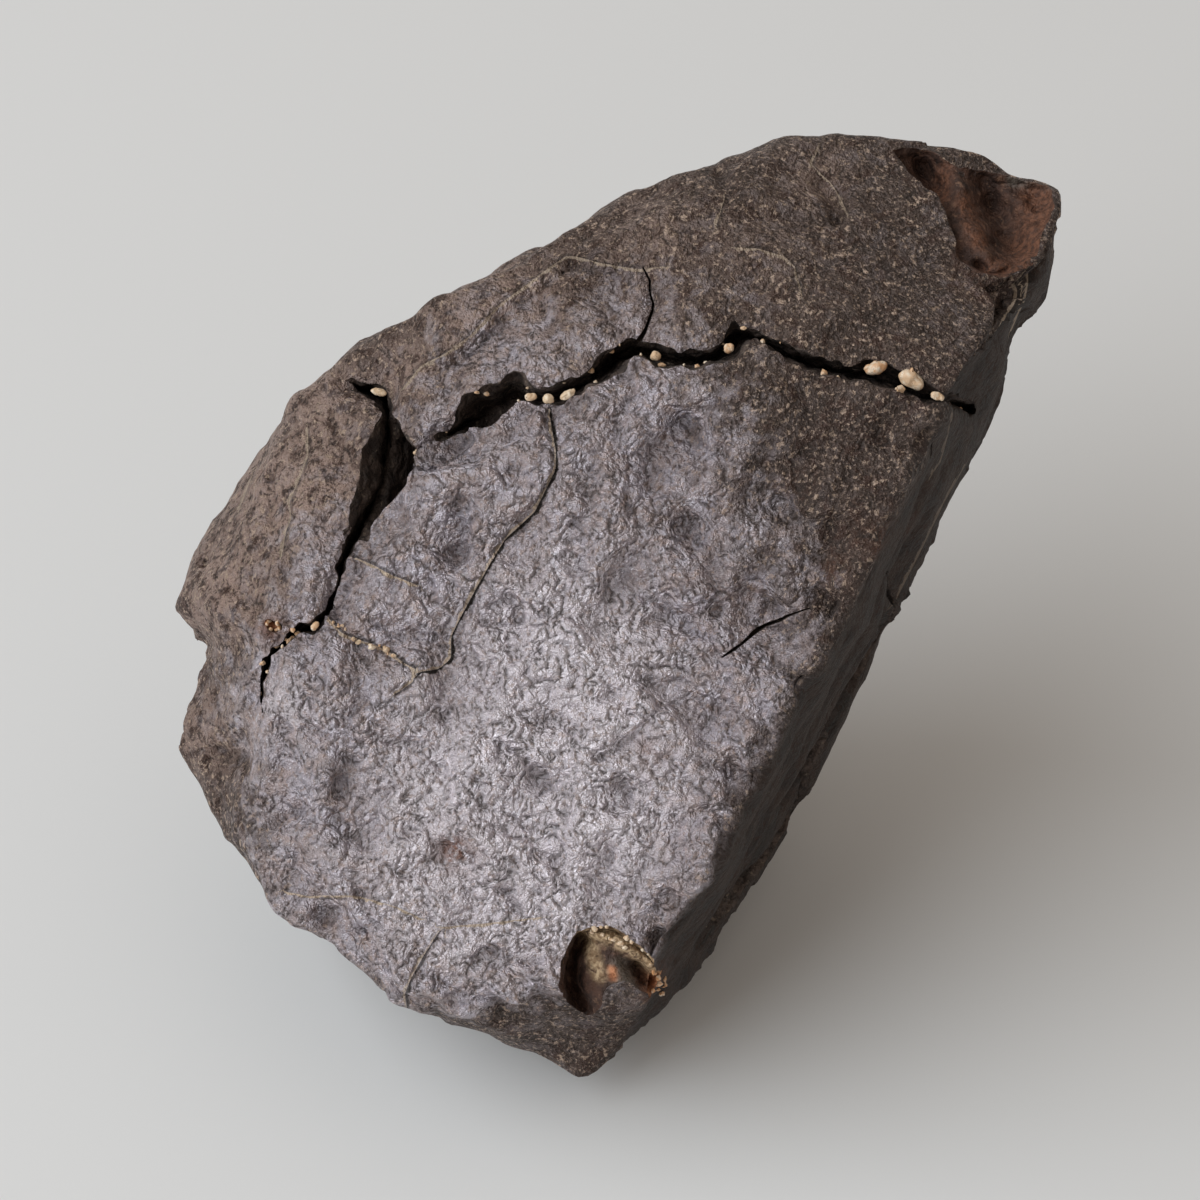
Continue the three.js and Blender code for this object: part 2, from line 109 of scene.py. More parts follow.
# Cracks: side they are drawn on, depth, and route of [u, v, half width].
CRACKS = {
    "main_crack": ("face", 7.5, [
        [29.5, 15.0, 0.5], [27.3, 15.4, 0.45], [26.6, 15.4, 0.5], [24.7, 15.8, 0.65],
        [23.8, 16.4, 0.9], [22.8, 16.9, 1.0], [20.7, 17.7, 1.0], [19.7, 17.4, 0.75],
        [18.7, 17.5, 0.65], [16.4, 18.1, 0.65], [14.5, 18.9, 0.6], [12.8, 19.9, 0.35],
        [11.6, 20.4, 0.45], [10.7, 20.5, 0.9], [9.8, 19.3, 0.9], [8.9, 18.7, 0.65],
        [8.0, 18.5, 0.7], [6.1, 18.5, 0.7], [4.2, 19.0, 0.9], [3.1, 19.4, 0.7],
        [2.1, 19.2, 0.85], [1.2, 18.8, 0.95], [0.3, 17.8, 0.85], [-0.8, 16.9, 0.6],
        [-2.1, 16.3, 0.65], [-3.5, 15.6, 0.8], [-4.6, 15.6, 0.7], [-5.4, 15.9, 0.75],
        [-6.5, 16.0, 0.8], [-9.0, 14.8, 0.8], [-11.2, 13.2, 0.3], [-12.3, 12.6, 0.12],
        [-13.2, 12.1, 0.08], [-14.8, 11.3, 0.12],
    ]),
    "left_slot": ("face", 8.5, [
        [-19.8, 17.1, 0.2], [-18.4, 16.6, 0.5], [-17.0, 16.0, 0.7], [-16.6, 14.8, 0.4],
        [-16.8, 12.0, 0.4], [-17.2, 9.0, 0.4], [-18.6, 6.0, 0.4], [-19.6, 4.0, 0.35],
        [-19.9, 3.1, 0.36], [-20.4, 1.0, 0.3], [-20.9, -0.5, 0.3],
        [-21.6, -1.4, 0.32], [-22.2, -2.2, 0.45], [-23.2, -2.2, 0.42], [-24.2, -3.2, 0.36],
        [-25.1, -3.6, 0.3], [-25.8, -4.6, 0.24], [-26.2, -6.2, 0.3], [-26.3, -7.7, 0.24],
        [-26.0, -9.1, 0.12],
    ]),
    "side_fissure": ("right", 3.5, [
        [22.5, 19.5, 0.15], [19.5, 16.1, 0.25], [15.9, 14.2, 0.2], [12.7, 10.2, 0.25],
        [10.6, 3.1, 0.3], [7.9, -1.8, 0.35], [7.1, -1.1, 0.3], [5.2, -0.7, 0.5],
        [3.7, 0.3, 0.3], [2.0, 2.5, 0.55], [-0.3, 2.0, 0.35], [-1.7, 0.8, 0.3],
        [-3.6, 0.0, 0.5], [-6.4, -1.9, 0.4], [-8.5, -2.4, 0.5], [-10.7, -2.0, 0.75],
        [-14.2, 1.7, 0.85], [-16.9, 4.3, 0.75], [-18.9, 6.1, 0.6], [-20.4, 6.6, 0.3],
    ]),
    "back_crack": ("back", 3.5, [
        [-26, 17, 0.4], [-21, 14, 0.45], [-16, 14.8, 0.3], [-11, 11, 0.4],
        [-6, 10.2, 0.3], [-1, 6, 0.35], [4, 5.4, 0.25], [8, 2, 0.15],
    ]),
    "step_crack": ("face", 1.4, [
        [9.3, -4.4, 0.05], [10.2, -3.8, 0.13], [11.1, -3.2, 0.1], [12.0, -2.3, 0.2],
        [12.8, -1.9, 0.12], [13.7, -1.6, 0.16], [14.6, -1.1, 0.1], [16.1, -0.6, 0.05],
    ]),
    "block_crack": ("face", 2.0, [
        [3.3, 25.8, 0.05], [3.9, 24.6, 0.09], [3.8, 23.8, 0.07], [4.2, 22.7, 0.12],
        [3.8, 21.6, 0.1], [3.5, 20.8, 0.15], [2.8, 19.6, 0.3],
    ]),
}

# Places opened or broken out of the face: the flat that the depth is measured from, depth,
# how much narrower the floor is, where the floor is shifted to, the outline, and the hollows
# of the floor [depth, half width, route].
OPENINGS = {
    "slot": ("left_block", 11.0, 0.35, (3.4, 0.2), [
        [-16.7, 15.7], [-16.1, 14.5], [-15.4, 13.3], [-14.9, 12.2], [-14.8, 11.2], [-15.1, 10.2],
        [-15.8, 8.5], [-16.8, 7.2], [-18.1, 6.0], [-18.9, 4.8], [-19.3, 3.7], [-20.0, 3.1],
        [-20.3, 4.0], [-20.3, 5.0], [-20.2, 6.4], [-19.6, 7.7], [-19.2, 9.0], [-19.2, 10.5],
        [-18.8, 11.6], [-18.1, 12.7], [-17.7, 14.0], [-17.2, 15.1],
    ], []),
    "pocket": ("broad_face", 7.5, 0.55, (0.6, -0.8), [
        [-11.7, 12.8], [-11.8, 14.0], [-11.6, 15.1], [-10.8, 16.1], [-9.7, 16.8], [-8.6, 16.9],
        [-7.7, 17.3], [-6.8, 17.9], [-5.8, 17.7], [-5.4, 16.9], [-5.6, 16.0], [-6.4, 15.4],
        [-7.2, 14.5], [-7.7, 13.9], [-8.6, 13.3], [-9.7, 13.0], [-10.8, 12.9],
    ], []),
    "low_pocket": ("broad_face", 2.6, 0.9, (0.1, -0.1), [
        [-1.9, -25.2], [-2.6, -26.7], [-3.1, -28.0], [-3.2, -29.6], [-2.9, -31.1], [-1.7, -32.3],
        [-0.6, -32.5], [0.9, -32.2], [2.6, -31.8], [3.8, -31.5], [4.2, -29.8], [5.0, -28.8],
        [3.8, -27.1], [2.5, -26.1], [1.1, -25.1], [-0.5, -25.0],
    ], [
        [2.6, 0.75, [[-1.7, -26.0], [-2.5, -27.7], [-2.4, -29.8], [-1.3, -31.7]]],
        [-1.3, 1.4, [[0.6, -27.4], [1.8, -30.4]]],
        [-1.4, 0.6, [[-0.9, -25.6], [1.2, -26.0], [3.6, -27.9]]],
        [2.6, 0.55, [[2.7, -28.3], [3.3, -29.3]]],
    ]),
    "low_corner": ("broad_face", 4.6, 0.85, (-0.2, 0.1), [
        [3.8, -28.8], [5.0, -28.3], [6.2, -29.0], [6.2, -30.4], [5.3, -31.6], [4.0, -31.4],
        [3.5, -30.4],
    ], []),
    "rust_pit": ("left_block", 1.8, 0.5, (0.3, 0.1), [
        [-26.3, -1.6], [-25.9, -1.3], [-25.3, -1.5], [-24.9, -1.9], [-24.1, -2.1], [-24.3, -2.6],
        [-25.1, -2.5], [-25.6, -2.8], [-26.0, -2.4],
    ], []),
    "corner": ("upper_block_right", 1.9, 0.85, (-0.3, -0.2), [
        [22.8, 35.7], [23.3, 35.1], [24.2, 34.0], [24.7, 33.0], [25.6, 32.3], [26.5, 31.5],
        [26.9, 30.5], [27.3, 29.5], [27.6, 28.5], [27.8, 26.6], [28.7, 25.7], [29.8, 25.1],
        [31.1, 24.8], [32.4, 25.3], [33.5, 26.0], [34.2, 27.0], [34.7, 28.8], [35.7, 30.8],
        [35.8, 32.5], [34.5, 33.1], [31.9, 33.9], [29.2, 34.7], [26.9, 35.4], [24.5, 36.0],
    ], [
        [2.5, 0.9, [[25.6, 34.2], [26.4, 32.7]]],
        [2.3, 1.3, [[31.0, 31.0], [31.8, 29.6], [32.0, 28.0]]],
        [1.0, 0.8, [[30.4, 33.0], [31.0, 31.6]]],
        [-1.1, 1.2, [[27.6, 35.2], [28.0, 33.6], [28.4, 31.4], [29.2, 28.5], [29.8, 27.0]]],
        [-1.2, 0.5, [[30.3, 25.7], [33.6, 26.4]]],
        [1.8, 0.45, [[29.5, 26.2], [29.9, 25.9]]],
    ]),
}

# Chips off the outline, down through the stone: outline of what is gone.
CHIPS = [
    [[-33.9, -0.7], [-33.3, -1.3], [-33.0, -1.9], [-32.9, -2.6], [-32.4, -3.0], [-31.8, -3.3],
     [-31.1, -3.4], [-31.3, -4.8], [-31.8, -6.1], [-32.4, -8.1], [-33.0, -10.4], [-33.4, -12.0],
     [-37.0, -12.0], [-37.0, -0.6]],
    [[0.0, -39.0], [0.2, -37.4], [0.9, -36.3], [1.5, -35.1], [2.5, -34.2], [3.7, -33.4],
     [4.5, -32.4], [6.0, -31.1], [7.1, -30.2], [8.4, -28.4], [10.1, -25.5], [11.9, -23.3],
     [13.0, -22.1], [14.3, -20.1], [15.3, -18.1], [15.0, -17.2], [16.0, -16.2], [17.2, -15.2],
     [17.6, -14.1], [19.3, -11.7], [22.0, -12.0], [20.0, -20.0], [14.0, -30.0], [6.0, -39.0]],
    [[37.0, 31.4], [35.7, 29.7], [35.8, 27.2], [35.5, 25.4], [35.3, 23.4], [34.7, 22.7],
     [33.6, 22.2], [32.9, 21.4], [32.5, 19.6], [32.3, 17.3], [31.8, 15.2], [30.7, 13.3],
     [30.0, 12.0], [29.6, 11.0], [29.0, 9.2], [27.9, 7.1], [26.1, 4.1], [25.1, 2.0],
     [24.0, 0.2], [23.2, -1.6], [27.0, -2.0], [34.0, 10.0], [39.5, 22.0], [39.5, 31.5]],
]

# Places of the outline pulled out or pushed in one by one: [x, y, radius, pull in x, pull in y].
PULLS = [
    [-1.2, -36.6, 1.6, 0.0, -1.3], [-6.0, -36.0, 4.0, 0.0, -0.5], [34.8, 24.2, 2.0, 0.6, 0.0],
    [-33.4, 0.2, 1.5, -0.3, -0.5], [-20.7, -29.7, 4.0, 0.45, 0.6],
]

# Colours inside the broken places: kind, radius and route.
STAINS = {
    "straw": [
        (0.75, [[-1.1, -25.6], [1.2, -25.9], [2.6, -26.9], [4.2, -28.3]]),
        (0.6, [[-0.9, -26.2], [-0.5, -27.6], [-0.1, -28.9]]),
    ],
    "orange": [
        (1.5, [[4.8, -28.6], [5.3, -30.0], [4.8, -31.4]]), (0.4, [[0.9, -28.5], [1.0, -29.0]]),
        (0.3, [[-25.7, -1.8], [-25.3, -2.0]]),
    ],
    "russet": [
        (0.9, [[30.5, 25.8], [33.6, 26.4]]), (0.7, [[27.2, 33.9], [26.9, 31.8]]),
        (1.6, [[34.6, 31.6], [34.2, 29.0], [33.4, 27.0]]), (0.8, [[28.6, 31.4], [29.6, 28.0]]),
    ],
    "ash": [(0.9, [[1.5, -28.4], [2.0, -30.4]]), (0.5, [[32.6, 33.2], [35.4, 32.4]])],
}

# The sides that cracks are drawn on: directions of u, of v and out of the drawing.
SIDES = {
    "face": ([1, 0, 0], [0, 1, 0], [0, 0, 1]),
    "back": ([-1, 0, 0], [0, 1, 0], [0, 0, -1]),
    "right": ([0.471, 0.882, 0], [0, 0, 1], [0.882, -0.471, 0]),
}

# Rust stains: [x, y, z, radius, strength].
RUST = [
    [-11.0, -19.2, 17.3, 1.8, 1.0], [3.8, -11.5, 19.2, 1.5, 0.6], [21.0, 4.6, 21.0, 1.6, 0.7],
    [18.0, 2.0, 21.0, 1.4, 0.5], [5.5, -31.0, 15.0, 2.2, 1.0], [-1.0, -37.0, 5.0, 2.2, 1.0],
    [-25.7, -2.2, 15.0, 1.3, 0.9], [29.5, 25.5, 14.0, 2.2, 0.5], [25.8, 4.8, 12.0, 1.6, 0.6],
]

# The gap between two layers of the right side, which is both a groove and a painted shadow line.
SIDE_GAP = [
    [22.6, -1.2], [21.9, -3.6], [21.0, -5.6], [19.6, -8.0], [18.2, -10.2], [16.6, -12.9],
    [15.6, -14.8], [13.9, -17.2], [12.4, -20.2], [11.1, -22.2], [9.5, -24.8], [8.1, -27.0],
]

# Grooves worn or broken into the surface: side, depth, half width and route of [u, v].
# A negative depth is a ridge.
STROKES = {
    "vein_step": ("face", 0.4, 0.5, [
        [-4.1, 14.3], [-3.5, 11.4], [-3.5, 10.0], [-5.1, 6.8], [-7.4, 4.7], [-8.6, 2.7],
        [-9.8, 0.6], [-10.8, -1.4], [-11.5, -3.1],
    ]),
    "filled_vein": ("face", 0.4, 0.5, [
        [-20.9, -1.5], [-19.0, -3.0], [-16.3, -4.0], [-15.0, -4.9], [-14.4, -6.3], [-15.6, -7.1],
    ]),
    "slot_lip": ("face", 1.0, 2.0, [
        [-12.3, 11.8], [-14.8, 8.9], [-17.3, 6.0], [-19.1, 3.1], [-20.4, -0.5],
    ]),
    "pocket_lip": ("face", 0.6, 1.6, [[-11.4, 12.3], [-8.4, 12.9], [-6.1, 14.7]]),
    "edge_ridge": ("face", -0.7, 2.6, [
        [19.3, -1.4], [15.3, -6.9], [12.6, -11.1], [9.2, -16.8], [7.3, -20.3],
    ]),
    "middle_trough": ("face", 0.45, 0.9, [
        [1.7, 1.5], [4.5, -0.6], [6.2, -2.4], [8.3, -2.8], [9.3, -4.2],
    ]),
    "right_trough": ("face", 0.4, 0.8, [
        [5.5, 7.8], [6.9, 5.4], [7.6, 3.4], [8.9, 0.8], [8.9, -0.5],
    ]),
    "top_trough": ("face", 0.35, 0.8, [[5.2, 14.7], [6.5, 13.0], [7.0, 11.9], [8.9, 11.5]]),
    "far_trough": ("face", 0.4, 0.9, [[12.7, 11.8], [12.2, 9.5], [12.0, 7.5]]),
    "far_bend": ("face", 0.4, 0.8, [[13.7, 7.3], [15.1, 6.3], [16.8, 5.3]]),
    "left_pit": ("face", 0.5, 0.9, [[-11.1, 7.7], [-11.1, 5.4], [-11.6, 3.5]]),
    "left_nick": ("face", 0.3, 0.6, [[-16.0, 3.2], [-15.6, 1.7], [-16.2, 0.5]]),
    "top_pit": ("face", 0.3, 0.5, [[1.6, 8.3], [1.8, 6.9]]),
    "hook": ("face", 0.25, 0.6, [[-0.2, -7.4], [0.9, -6.9], [2.3, -8.7]]),
    "hook_tail": ("face", 0.35, 0.6, [[4.4, -8.7], [3.1, -9.8], [1.5, -11.1], [0.1, -12.0]]),
    "low_dash": ("face", 0.45, 0.7, [[-7.5, -10.8], [-6.1, -12.3], [-4.8, -14.1]]),
    "low_left_dash": ("face", 0.35, 0.5, [[-12.1, -12.8], [-10.5, -14.2]]),
    "low_pit": ("face", 0.4, 0.6, [[-10.7, -15.9], [-10.3, -17.9]]),
    "rust_bowl": ("face", 0.45, 0.6, [
        [-13.2, -20.5], [-12.3, -19.1], [-10.9, -18.6], [-9.7, -19.5],
    ]),
    "low_furrow": ("face", 0.35, 0.5, [[-5.1, -20.4], [-4.6, -22.3], [-4.9, -24.4]]),
    "low_furrow_left": ("face", 0.4, 0.6, [[-7.8, -22.0], [-6.6, -23.6]]),
    "deep_pit": ("face", 0.5, 0.5, [[0.5, -18.4], [0.7, -20.1]]),
    "small_pit": ("face", 0.35, 0.5, [[1.6, -14.3], [1.9, -16.0]]),
    "middle_dash": ("face", 0.3, 0.5, [[-9.1, -1.8], [-7.7, -2.1], [-6.4, -1.3]]),
    "middle_tick": ("face", 0.3, 0.4, [[-5.6, -5.4], [-4.5, -3.7]]),
    "edge_nick": ("face", 0.35, 0.6, [[7.5, -11.4], [8.7, -12.1], [9.6, -12.5]]),
    "edge_notch": ("face", 0.8, 0.8, [[9.8, -12.5], [10.3, -13.8], [10.3, -15.3]]),
    "rim_valley": ("face", 0.7, 1.2, [[-24.1, -16.7], [-23.6, -18.6], [-24.1, -21.4]]),
    "rim_furrow": ("face", 0.5, 0.7, [[-22.7, -21.5], [-22.2, -23.3], [-22.2, -24.8]]),
    "left_tick": ("face", 0.45, 0.6, [[-19.5, -12.5], [-20.1, -13.7], [-20.4, -14.8]]),
    "left_curl": ("face", 0.35, 0.5, [[-18.9, -8.5], [-19.6, -9.4], [-19.8, -10.8]]),
    "low_rim_dash": ("face", 0.45, 0.6, [[-18.7, -22.8], [-17.7, -24.5], [-16.5, -25.6]]),
    "low_rim_pit": ("face", 0.4, 0.6, [[-15.9, -30.0], [-14.7, -31.0]]),
    "low_rim_hole": ("face", 0.45, 0.6, [[-13.4, -31.1], [-12.6, -32.0]]),
    "left_notch_fold": ("face", 0.5, 0.6, [[-31.3, -12.0], [-29.7, -12.6], [-28.1, -12.5]]),
    "block_line": ("face", 0.3, 0.4, [
        [4.3, 28.7], [3.3, 26.8], [3.3, 25.6], [3.9, 24.2], [4.0, 22.7], [3.3, 20.8],
    ]),
    "block_pit": ("face", 0.5, 0.7, [[17.1, 33.0], [17.8, 31.9], [18.4, 30.2]]),
    "block_pit_right": ("face", 0.35, 0.5, [[18.6, 32.1], [19.2, 30.8], [18.7, 29.7]]),
    "block_tick": ("face", 0.3, 0.6, [[-4.6, 23.2], [-4.3, 22.0], [-4.0, 20.8]]),
    "block_dash": ("face", 0.35, 0.6, [[-9.3, 20.9], [-10.0, 19.7], [-11.2, 19.3]]),
    "block_top_dash": ("face", 0.4, 0.7, [[9.2, 33.8], [10.0, 32.1], [9.5, 30.7]]),
    "slot_head": ("face", 0.7, 0.8, [[-17.5, 16.6], [-18.7, 17.0], [-20.0, 17.2]]),
    "left_block_hole": ("face", 0.9, 0.28, [[-31.6, 3.2], [-31.4, 3.0]]),
    "side_gap": ("face", 0.8, 0.32, SIDE_GAP),
    "side_layer_1": ("right", 0.35, 0.6, [
        [20.0, 13.5], [16.0, 11.4], [11.0, 10.6], [6.0, 8.2], [0.0, 8.8], [-6.0, 7.4],
        [-12.0, 8.6], [-18.0, 10.4], [-22.0, 11.6],
    ]),
    "side_layer_2": ("right", 0.3, 0.5, [
        [18.0, 9.0], [12.0, 7.0], [7.0, 5.0], [1.0, 5.6], [-4.0, 4.4], [-10.0, 5.4],
    ]),
    "side_scar": ("right", 0.5, 1.6, [[-2.0, 12.6], [-6.0, 13.0], [-10.0, 12.4]]),
    "left_block_fold": ("face", 0.4, 0.7, [
        [-30.4, 1.1], [-28.7, 1.6], [-28.0, 0.3], [-26.9, -0.3],
    ]),
    "left_block_line": ("face", 0.3, 0.5, [[-25.9, 9.7], [-25.7, 8.3], [-26.1, 6.3]]),
    "left_block_tick": ("face", 0.3, 0.5, [[-20.9, 5.6], [-21.2, 4.2]]),
    "left_block_hollow": ("face", 0.4, 1.0, [[-28.0, 7.9], [-28.7, 5.5], [-29.1, 3.1]]),
    "left_block_foot": ("face", 0.4, 0.6, [[-23.9, 0.3], [-24.7, -0.8], [-24.4, -1.7]]),
}

# Steps: side, drop, how far the drop runs before it fades, and route. The left side drops.
LEDGES = {
    "upper_block_ledge": ("face", 1.2, 5.0, [
        [2.9, 25.6], [-0.2, 26.2], [-2.0, 26.8], [-2.7, 26.8], [-5.2, 24.9], [-7.7, 23.0],
        [-10.1, 20.4], [-12.1, 19.0], [-13.9, 18.2], [-15.3, 16.5],
    ]),
    "block_right_edge": ("face", 1.1, 6.0, [
        [31.6, 24.6], [31.1, 23.8], [30.9, 22.7], [30.2, 21.4], [29.1, 19.5], [28.4, 18.0],
        [27.4, 16.8], [26.2, 15.4],
    ]),
    "side_layer_edge": ("face", 0.6, 4.0, [
        [32.2, 24.8], [32.1, 23.2], [31.6, 20.8], [31.0, 19.6],
    ]),
}

# Edges that are still crisp, on the face's drawing.
CRISP_EDGES = [
    [[26.2, 15.2], [25.0, 9.2], [22.3, 4.6], [20.9, 0.8], [17.6, -3.1], [14.5, -8.4],
     [12.2, -12.2], [9.9, -15.3], [8.8, -18.4], [7.7, -20.7], [5.0, -23.0], [3.8, -25.3]],
    [[-11.1, -34.5], [-9.3, -32.3], [-7.7, -31.2], [-6.5, -30.8], [-5.1, -30.5], [-3.8, -30.6],
     [-1.9, -31.6], [-0.8, -32.0], [0.9, -31.5], [3.1, -31.1], [-0.8, -37.4]],
]

# Varnish that is thicker or thinner than its neighbourhood: [x, y, radius, amount]. Where an
# amount lifts the face's varnish past 1, the crust is painted paler there, a painted glare.
VARNISH = [
    [21.0, 11.0, 8.5, -1.0], [13.0, 14.0, 6.0, -0.4], [13.0, 1.0, 5.5, -0.25],
    [20.0, 5.0, 4.0, -0.4], [-2.0, -4.0, 9.0, 0.3], [-6.0, -19.0, 12.0, 0.5],
    [-7.0, 19.5, 5.0, 0.6], [3.0, 21.0, 4.0, 0.5], [10.0, 22.0, 3.0, 0.2],
    [-22.0, 4.0, 3.5, 0.4], [-27.0, -8.0, 4.0, 0.5], [-13.0, 13.5, 2.5, 0.3],
    [26.0, 20.0, 4.0, 0.15],
]

# Paler brown, dusty places: [x, y, radius, amount].
DUST = [
    [-8.0, 21.0, 6.5, 1.0], [-15.0, 17.5, 3.0, 0.9], [-24.0, 8.0, 9.0, 1.0],
    [-22.0, 15.0, 5.0, 0.9], [-29.0, 1.0, 6.0, 1.0], [-31.0, -10.0, 4.0, 0.8],
    [4.0, 28.0, 4.5, 0.5], [12.0, 27.0, 5.0, 0.3], [3.0, 22.0, 4.0, 0.5], [17.0, 33.0, 3.0, 0.5],
]

# Mineral veins and painted shadow lines: strength of the pale line, of the painted shadow line on
# its left, and route.
VEINS = [
    (0.0, 1.0, SIDE_GAP),
    (0.9, 1.0, [
        [-3.9, 14.3], [-3.4, 11.4], [-3.4, 10.0], [-5.0, 6.8], [-7.3, 4.7], [-8.5, 2.7],
        [-9.7, 0.6], [-10.8, -1.4], [-11.5, -2.8], [-11.5, -4.5], [-12.4, -5.3], [-13.8, -5.5],
    ]),
    (1.0, 0.6, [[-19.0, 3.3], [-17.5, 2.7], [-16.0, 1.9], [-14.2, 1.2]]),
    (1.0, 0.7, [
        [-20.9, -1.5], [-20.0, -2.5], [-19.0, -3.0], [-17.5, -3.4], [-16.3, -4.0],
        [-15.0, -4.9], [-14.2, -5.3], [-14.4, -6.3], [-15.7, -7.2],
    ]),
    (1.0, 0.2, [
        [-24.3, -22.7], [-22.6, -23.0], [-19.4, -22.8], [-17.5, -23.1], [-15.5, -23.7],
        [-14.0, -24.4],
    ]),
    (0.9, 0.2, [[-12.2, -25.2], [-11.1, -25.1], [-8.8, -24.9], [-7.2, -24.7], [-4.6, -24.4]]),
    (0.7, 0.8, [[-12.4, -25.5], [-13.6, -27.4], [-14.6, -29.2], [-15.1, -30.5], [-15.0, -31.6]]),
    (0.8, 0.3, [[17.3, 35.7], [16.6, 34.2], [18.1, 32.7], [18.8, 31.6], [19.3, 30.2]]),
    (0.9, 0.4, [[9.7, 31.2], [9.0, 29.0]]),
    (0.8, 0.4, [[10.4, 27.2], [12.2, 27.1], [14.2, 26.5], [15.0, 25.7], [15.5, 23.6]]),
    (0.85, 0.4, [
        [-15.3, 16.5], [-13.9, 18.2], [-12.1, 19.0], [-10.1, 20.4], [-7.7, 23.0], [-5.2, 24.9],
        [-2.7, 26.8], [-2.0, 26.8], [-0.2, 26.2], [2.9, 25.6], [5.0, 25.8],
    ]),
    (0.8, 0.4, [
        [-22.9, 13.4], [-22.8, 11.2], [-23.4, 9.5], [-24.2, 7.6], [-24.0, 6.3], [-24.4, 5.4],
        [-24.7, 3.4],
    ]),
    (0.6, 0.3, [[-27.5, 9.9], [-28.4, 7.3]]),
    (0.5, 0.6, [
        [32.0, 25.2], [32.5, 24.2], [32.5, 23.6], [32.1, 22.8], [31.5, 22.0], [31.1, 21.3],
    ]),
    (0.5, 0.6, [[33.4, 26.2], [33.4, 24.8], [33.3, 23.6], [33.1, 22.4], [32.7, 21.4]]),
    (0.2, 0.5, [[27.2, 14.9], [26.9, 12.5], [26.5, 10.7], [25.8, 9.8]]),
    (0.2, 0.5, [[29.0, 10.7], [27.2, 7.7], [26.0, 5.0], [24.2, 1.4], [23.3, -0.4]]),
]

BLOCK_WIDTH = 140      # of the cube that is split
FAR_OUT = 90           # where rays towards the stone start
CELL = 0.66            # width of the stone's mesh away from the face
CUT_CELL = 0.32        # width of the mesh of the cutters
CHIP_CELL = 0.5
CUT_RAG = 0.4          # how ragged the cutters' walls are
BREAK_RAG = 0.3
CHIP_RAG = 0.5
EDGE_SOFTNESS = 0.5    # how far the block's edges are worn back
BACK_SOFTNESS = 0.3    # what is worn off the back's edges on top of that
CRISP_SOFTNESS = 0.14
GROOVE_STRENGTH = 1.2
LIP_DROP = 0.3         # wear along the cracks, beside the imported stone's own
LIP_WIDTH = 0.6
DEEP_CRACK = 7.5       # the lips of a crack this deep are worn in full
BLADE_STEP = 0.4       # between the rows of corners of a wide crack's cutter
FINE_BLADE_STEP = 0.6
CHIP_LEVELS = (-9.0, 14.0)      # a chip's floor and a place above the face
LOOSE_BESIDE = 0.9     # this far beside a crack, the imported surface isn't followed
LOOSE_AROUND = 1.0     # the same around an opening
WALL_OFFSET = 3.2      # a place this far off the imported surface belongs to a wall
SWELL_ROUNDS = 36      # how widely the swelling is averaged
CAVITY_ROUNDS = 4      # how widely the surface is averaged to find its hollows
CAVITY_DEPTH = 0.08    # of a hollow that counts in full
# Past a varnish of 1, up to this, the crust is painted paler as glare.
VARNISH_FULL_GLARE = 1.4
NO_VEIN = 9.0          # distance that is stored away from every vein

# Relief of the crust and of the cutters' walls: height, size and seed.
CRUST_FACETS = [(3.6, 6.0, 3.1), (1.5, 2.8, 8.7)]
CRUST_CREASES = (0.12, 2.6, 8.7)
EDGE_CHIPS = (0.9, 2.4, 4.4)
WALL_FACETS = (1.6, 1.6, 2.2)
WALL_GRIT = (0.6, 0.8, 5.5)

FACE_FLATS = ("broad_face", "face_left_edge", "face_low_left_rim")
SIDE_FLATS = ("right_side", "outline_right", "outline_tip_right", "outline_corner_low")
SMOOTH_FLATS = ("right_side", "outline_right", "under_tip", "face_low_edge", "right_side_chip")


def select_only(piece):
    for other in bpy.context.selected_objects:
        other.select_set(False)
    piece.select_set(True)
    bpy.context.view_layer.objects.active = piece


def in_edit_mode(piece, work):
    select_only(piece)
    bpy.ops.object.mode_set(mode="EDIT")
    work()
    bpy.ops.object.mode_set(mode="OBJECT")


def apply_modifier(piece, kind, **settings):
    select_only(piece)
    modifier = piece.modifiers.new(kind.lower(), kind)
    for name, value in settings.items():
        setattr(modifier, name, value)
    bpy.ops.object.modifier_apply(modifier=modifier.name)


def points_of(piece):
    points = np.empty(len(piece.data.vertices) * 3)
    piece.data.vertices.foreach_get("co", points)
    return points.reshape(-1, 3)


def move_points(piece, points):
    piece.data.vertices.foreach_set("co", points.ravel())
    piece.data.update()


def normals_of(piece):
    normals = np.empty(len(piece.data.vertices) * 3)
    piece.data.vertex_normals.foreach_get("vector", normals)
    return normals.reshape(-1, 3)


def edges_of(piece):
    edges = np.empty(len(piece.data.edges) * 2, dtype=np.int64)
    piece.data.edges.foreach_get("vertices", edges)
    return edges.reshape(-1, 2)


def spread(values, edges, rounds):
    """Averages values with their neighbours along the edges."""
    count = len(values)
    a, b = edges[:, 0], edges[:, 1]
    around = np.bincount(a, minlength=count) + np.bincount(b, minlength=count)
    for _ in range(rounds):
        total = np.bincount(a, values[b], count) + np.bincount(b, values[a], count)
        values = 0.5 * values + 0.5 * total / np.maximum(around, 1)
    return values


def flats_array():
    """The flats and the ground, as unit directions and distances."""
    rows = np.array(list(FLATS.values()) + [GROUND])
    rows[:, :3] /= np.linalg.norm(rows[:, :3], axis=1)[:, None]
    return rows[:, :3], rows[:, 3]


def split_block():
    """A cube split down to the flats, as a mason would, then meshed finely."""
    bpy.ops.mesh.primitive_cube_add(size=BLOCK_WIDTH)
    block = bpy.context.object
    block.name = "meteorite"

    def split():
        for facing, distance in zip(*flats_array()):
            bpy.ops.mesh.select_all(action="SELECT")
            bpy.ops.mesh.bisect(
                plane_co=facing * distance, plane_no=facing,
                use_fill=True, clear_outer=True, threshold=1e-5,
            )

    in_edit_mode(block, split)
    apply_modifier(block, "REMESH", mode="VOXEL", voxel_size=CELL, use_smooth_shade=True)
    return block


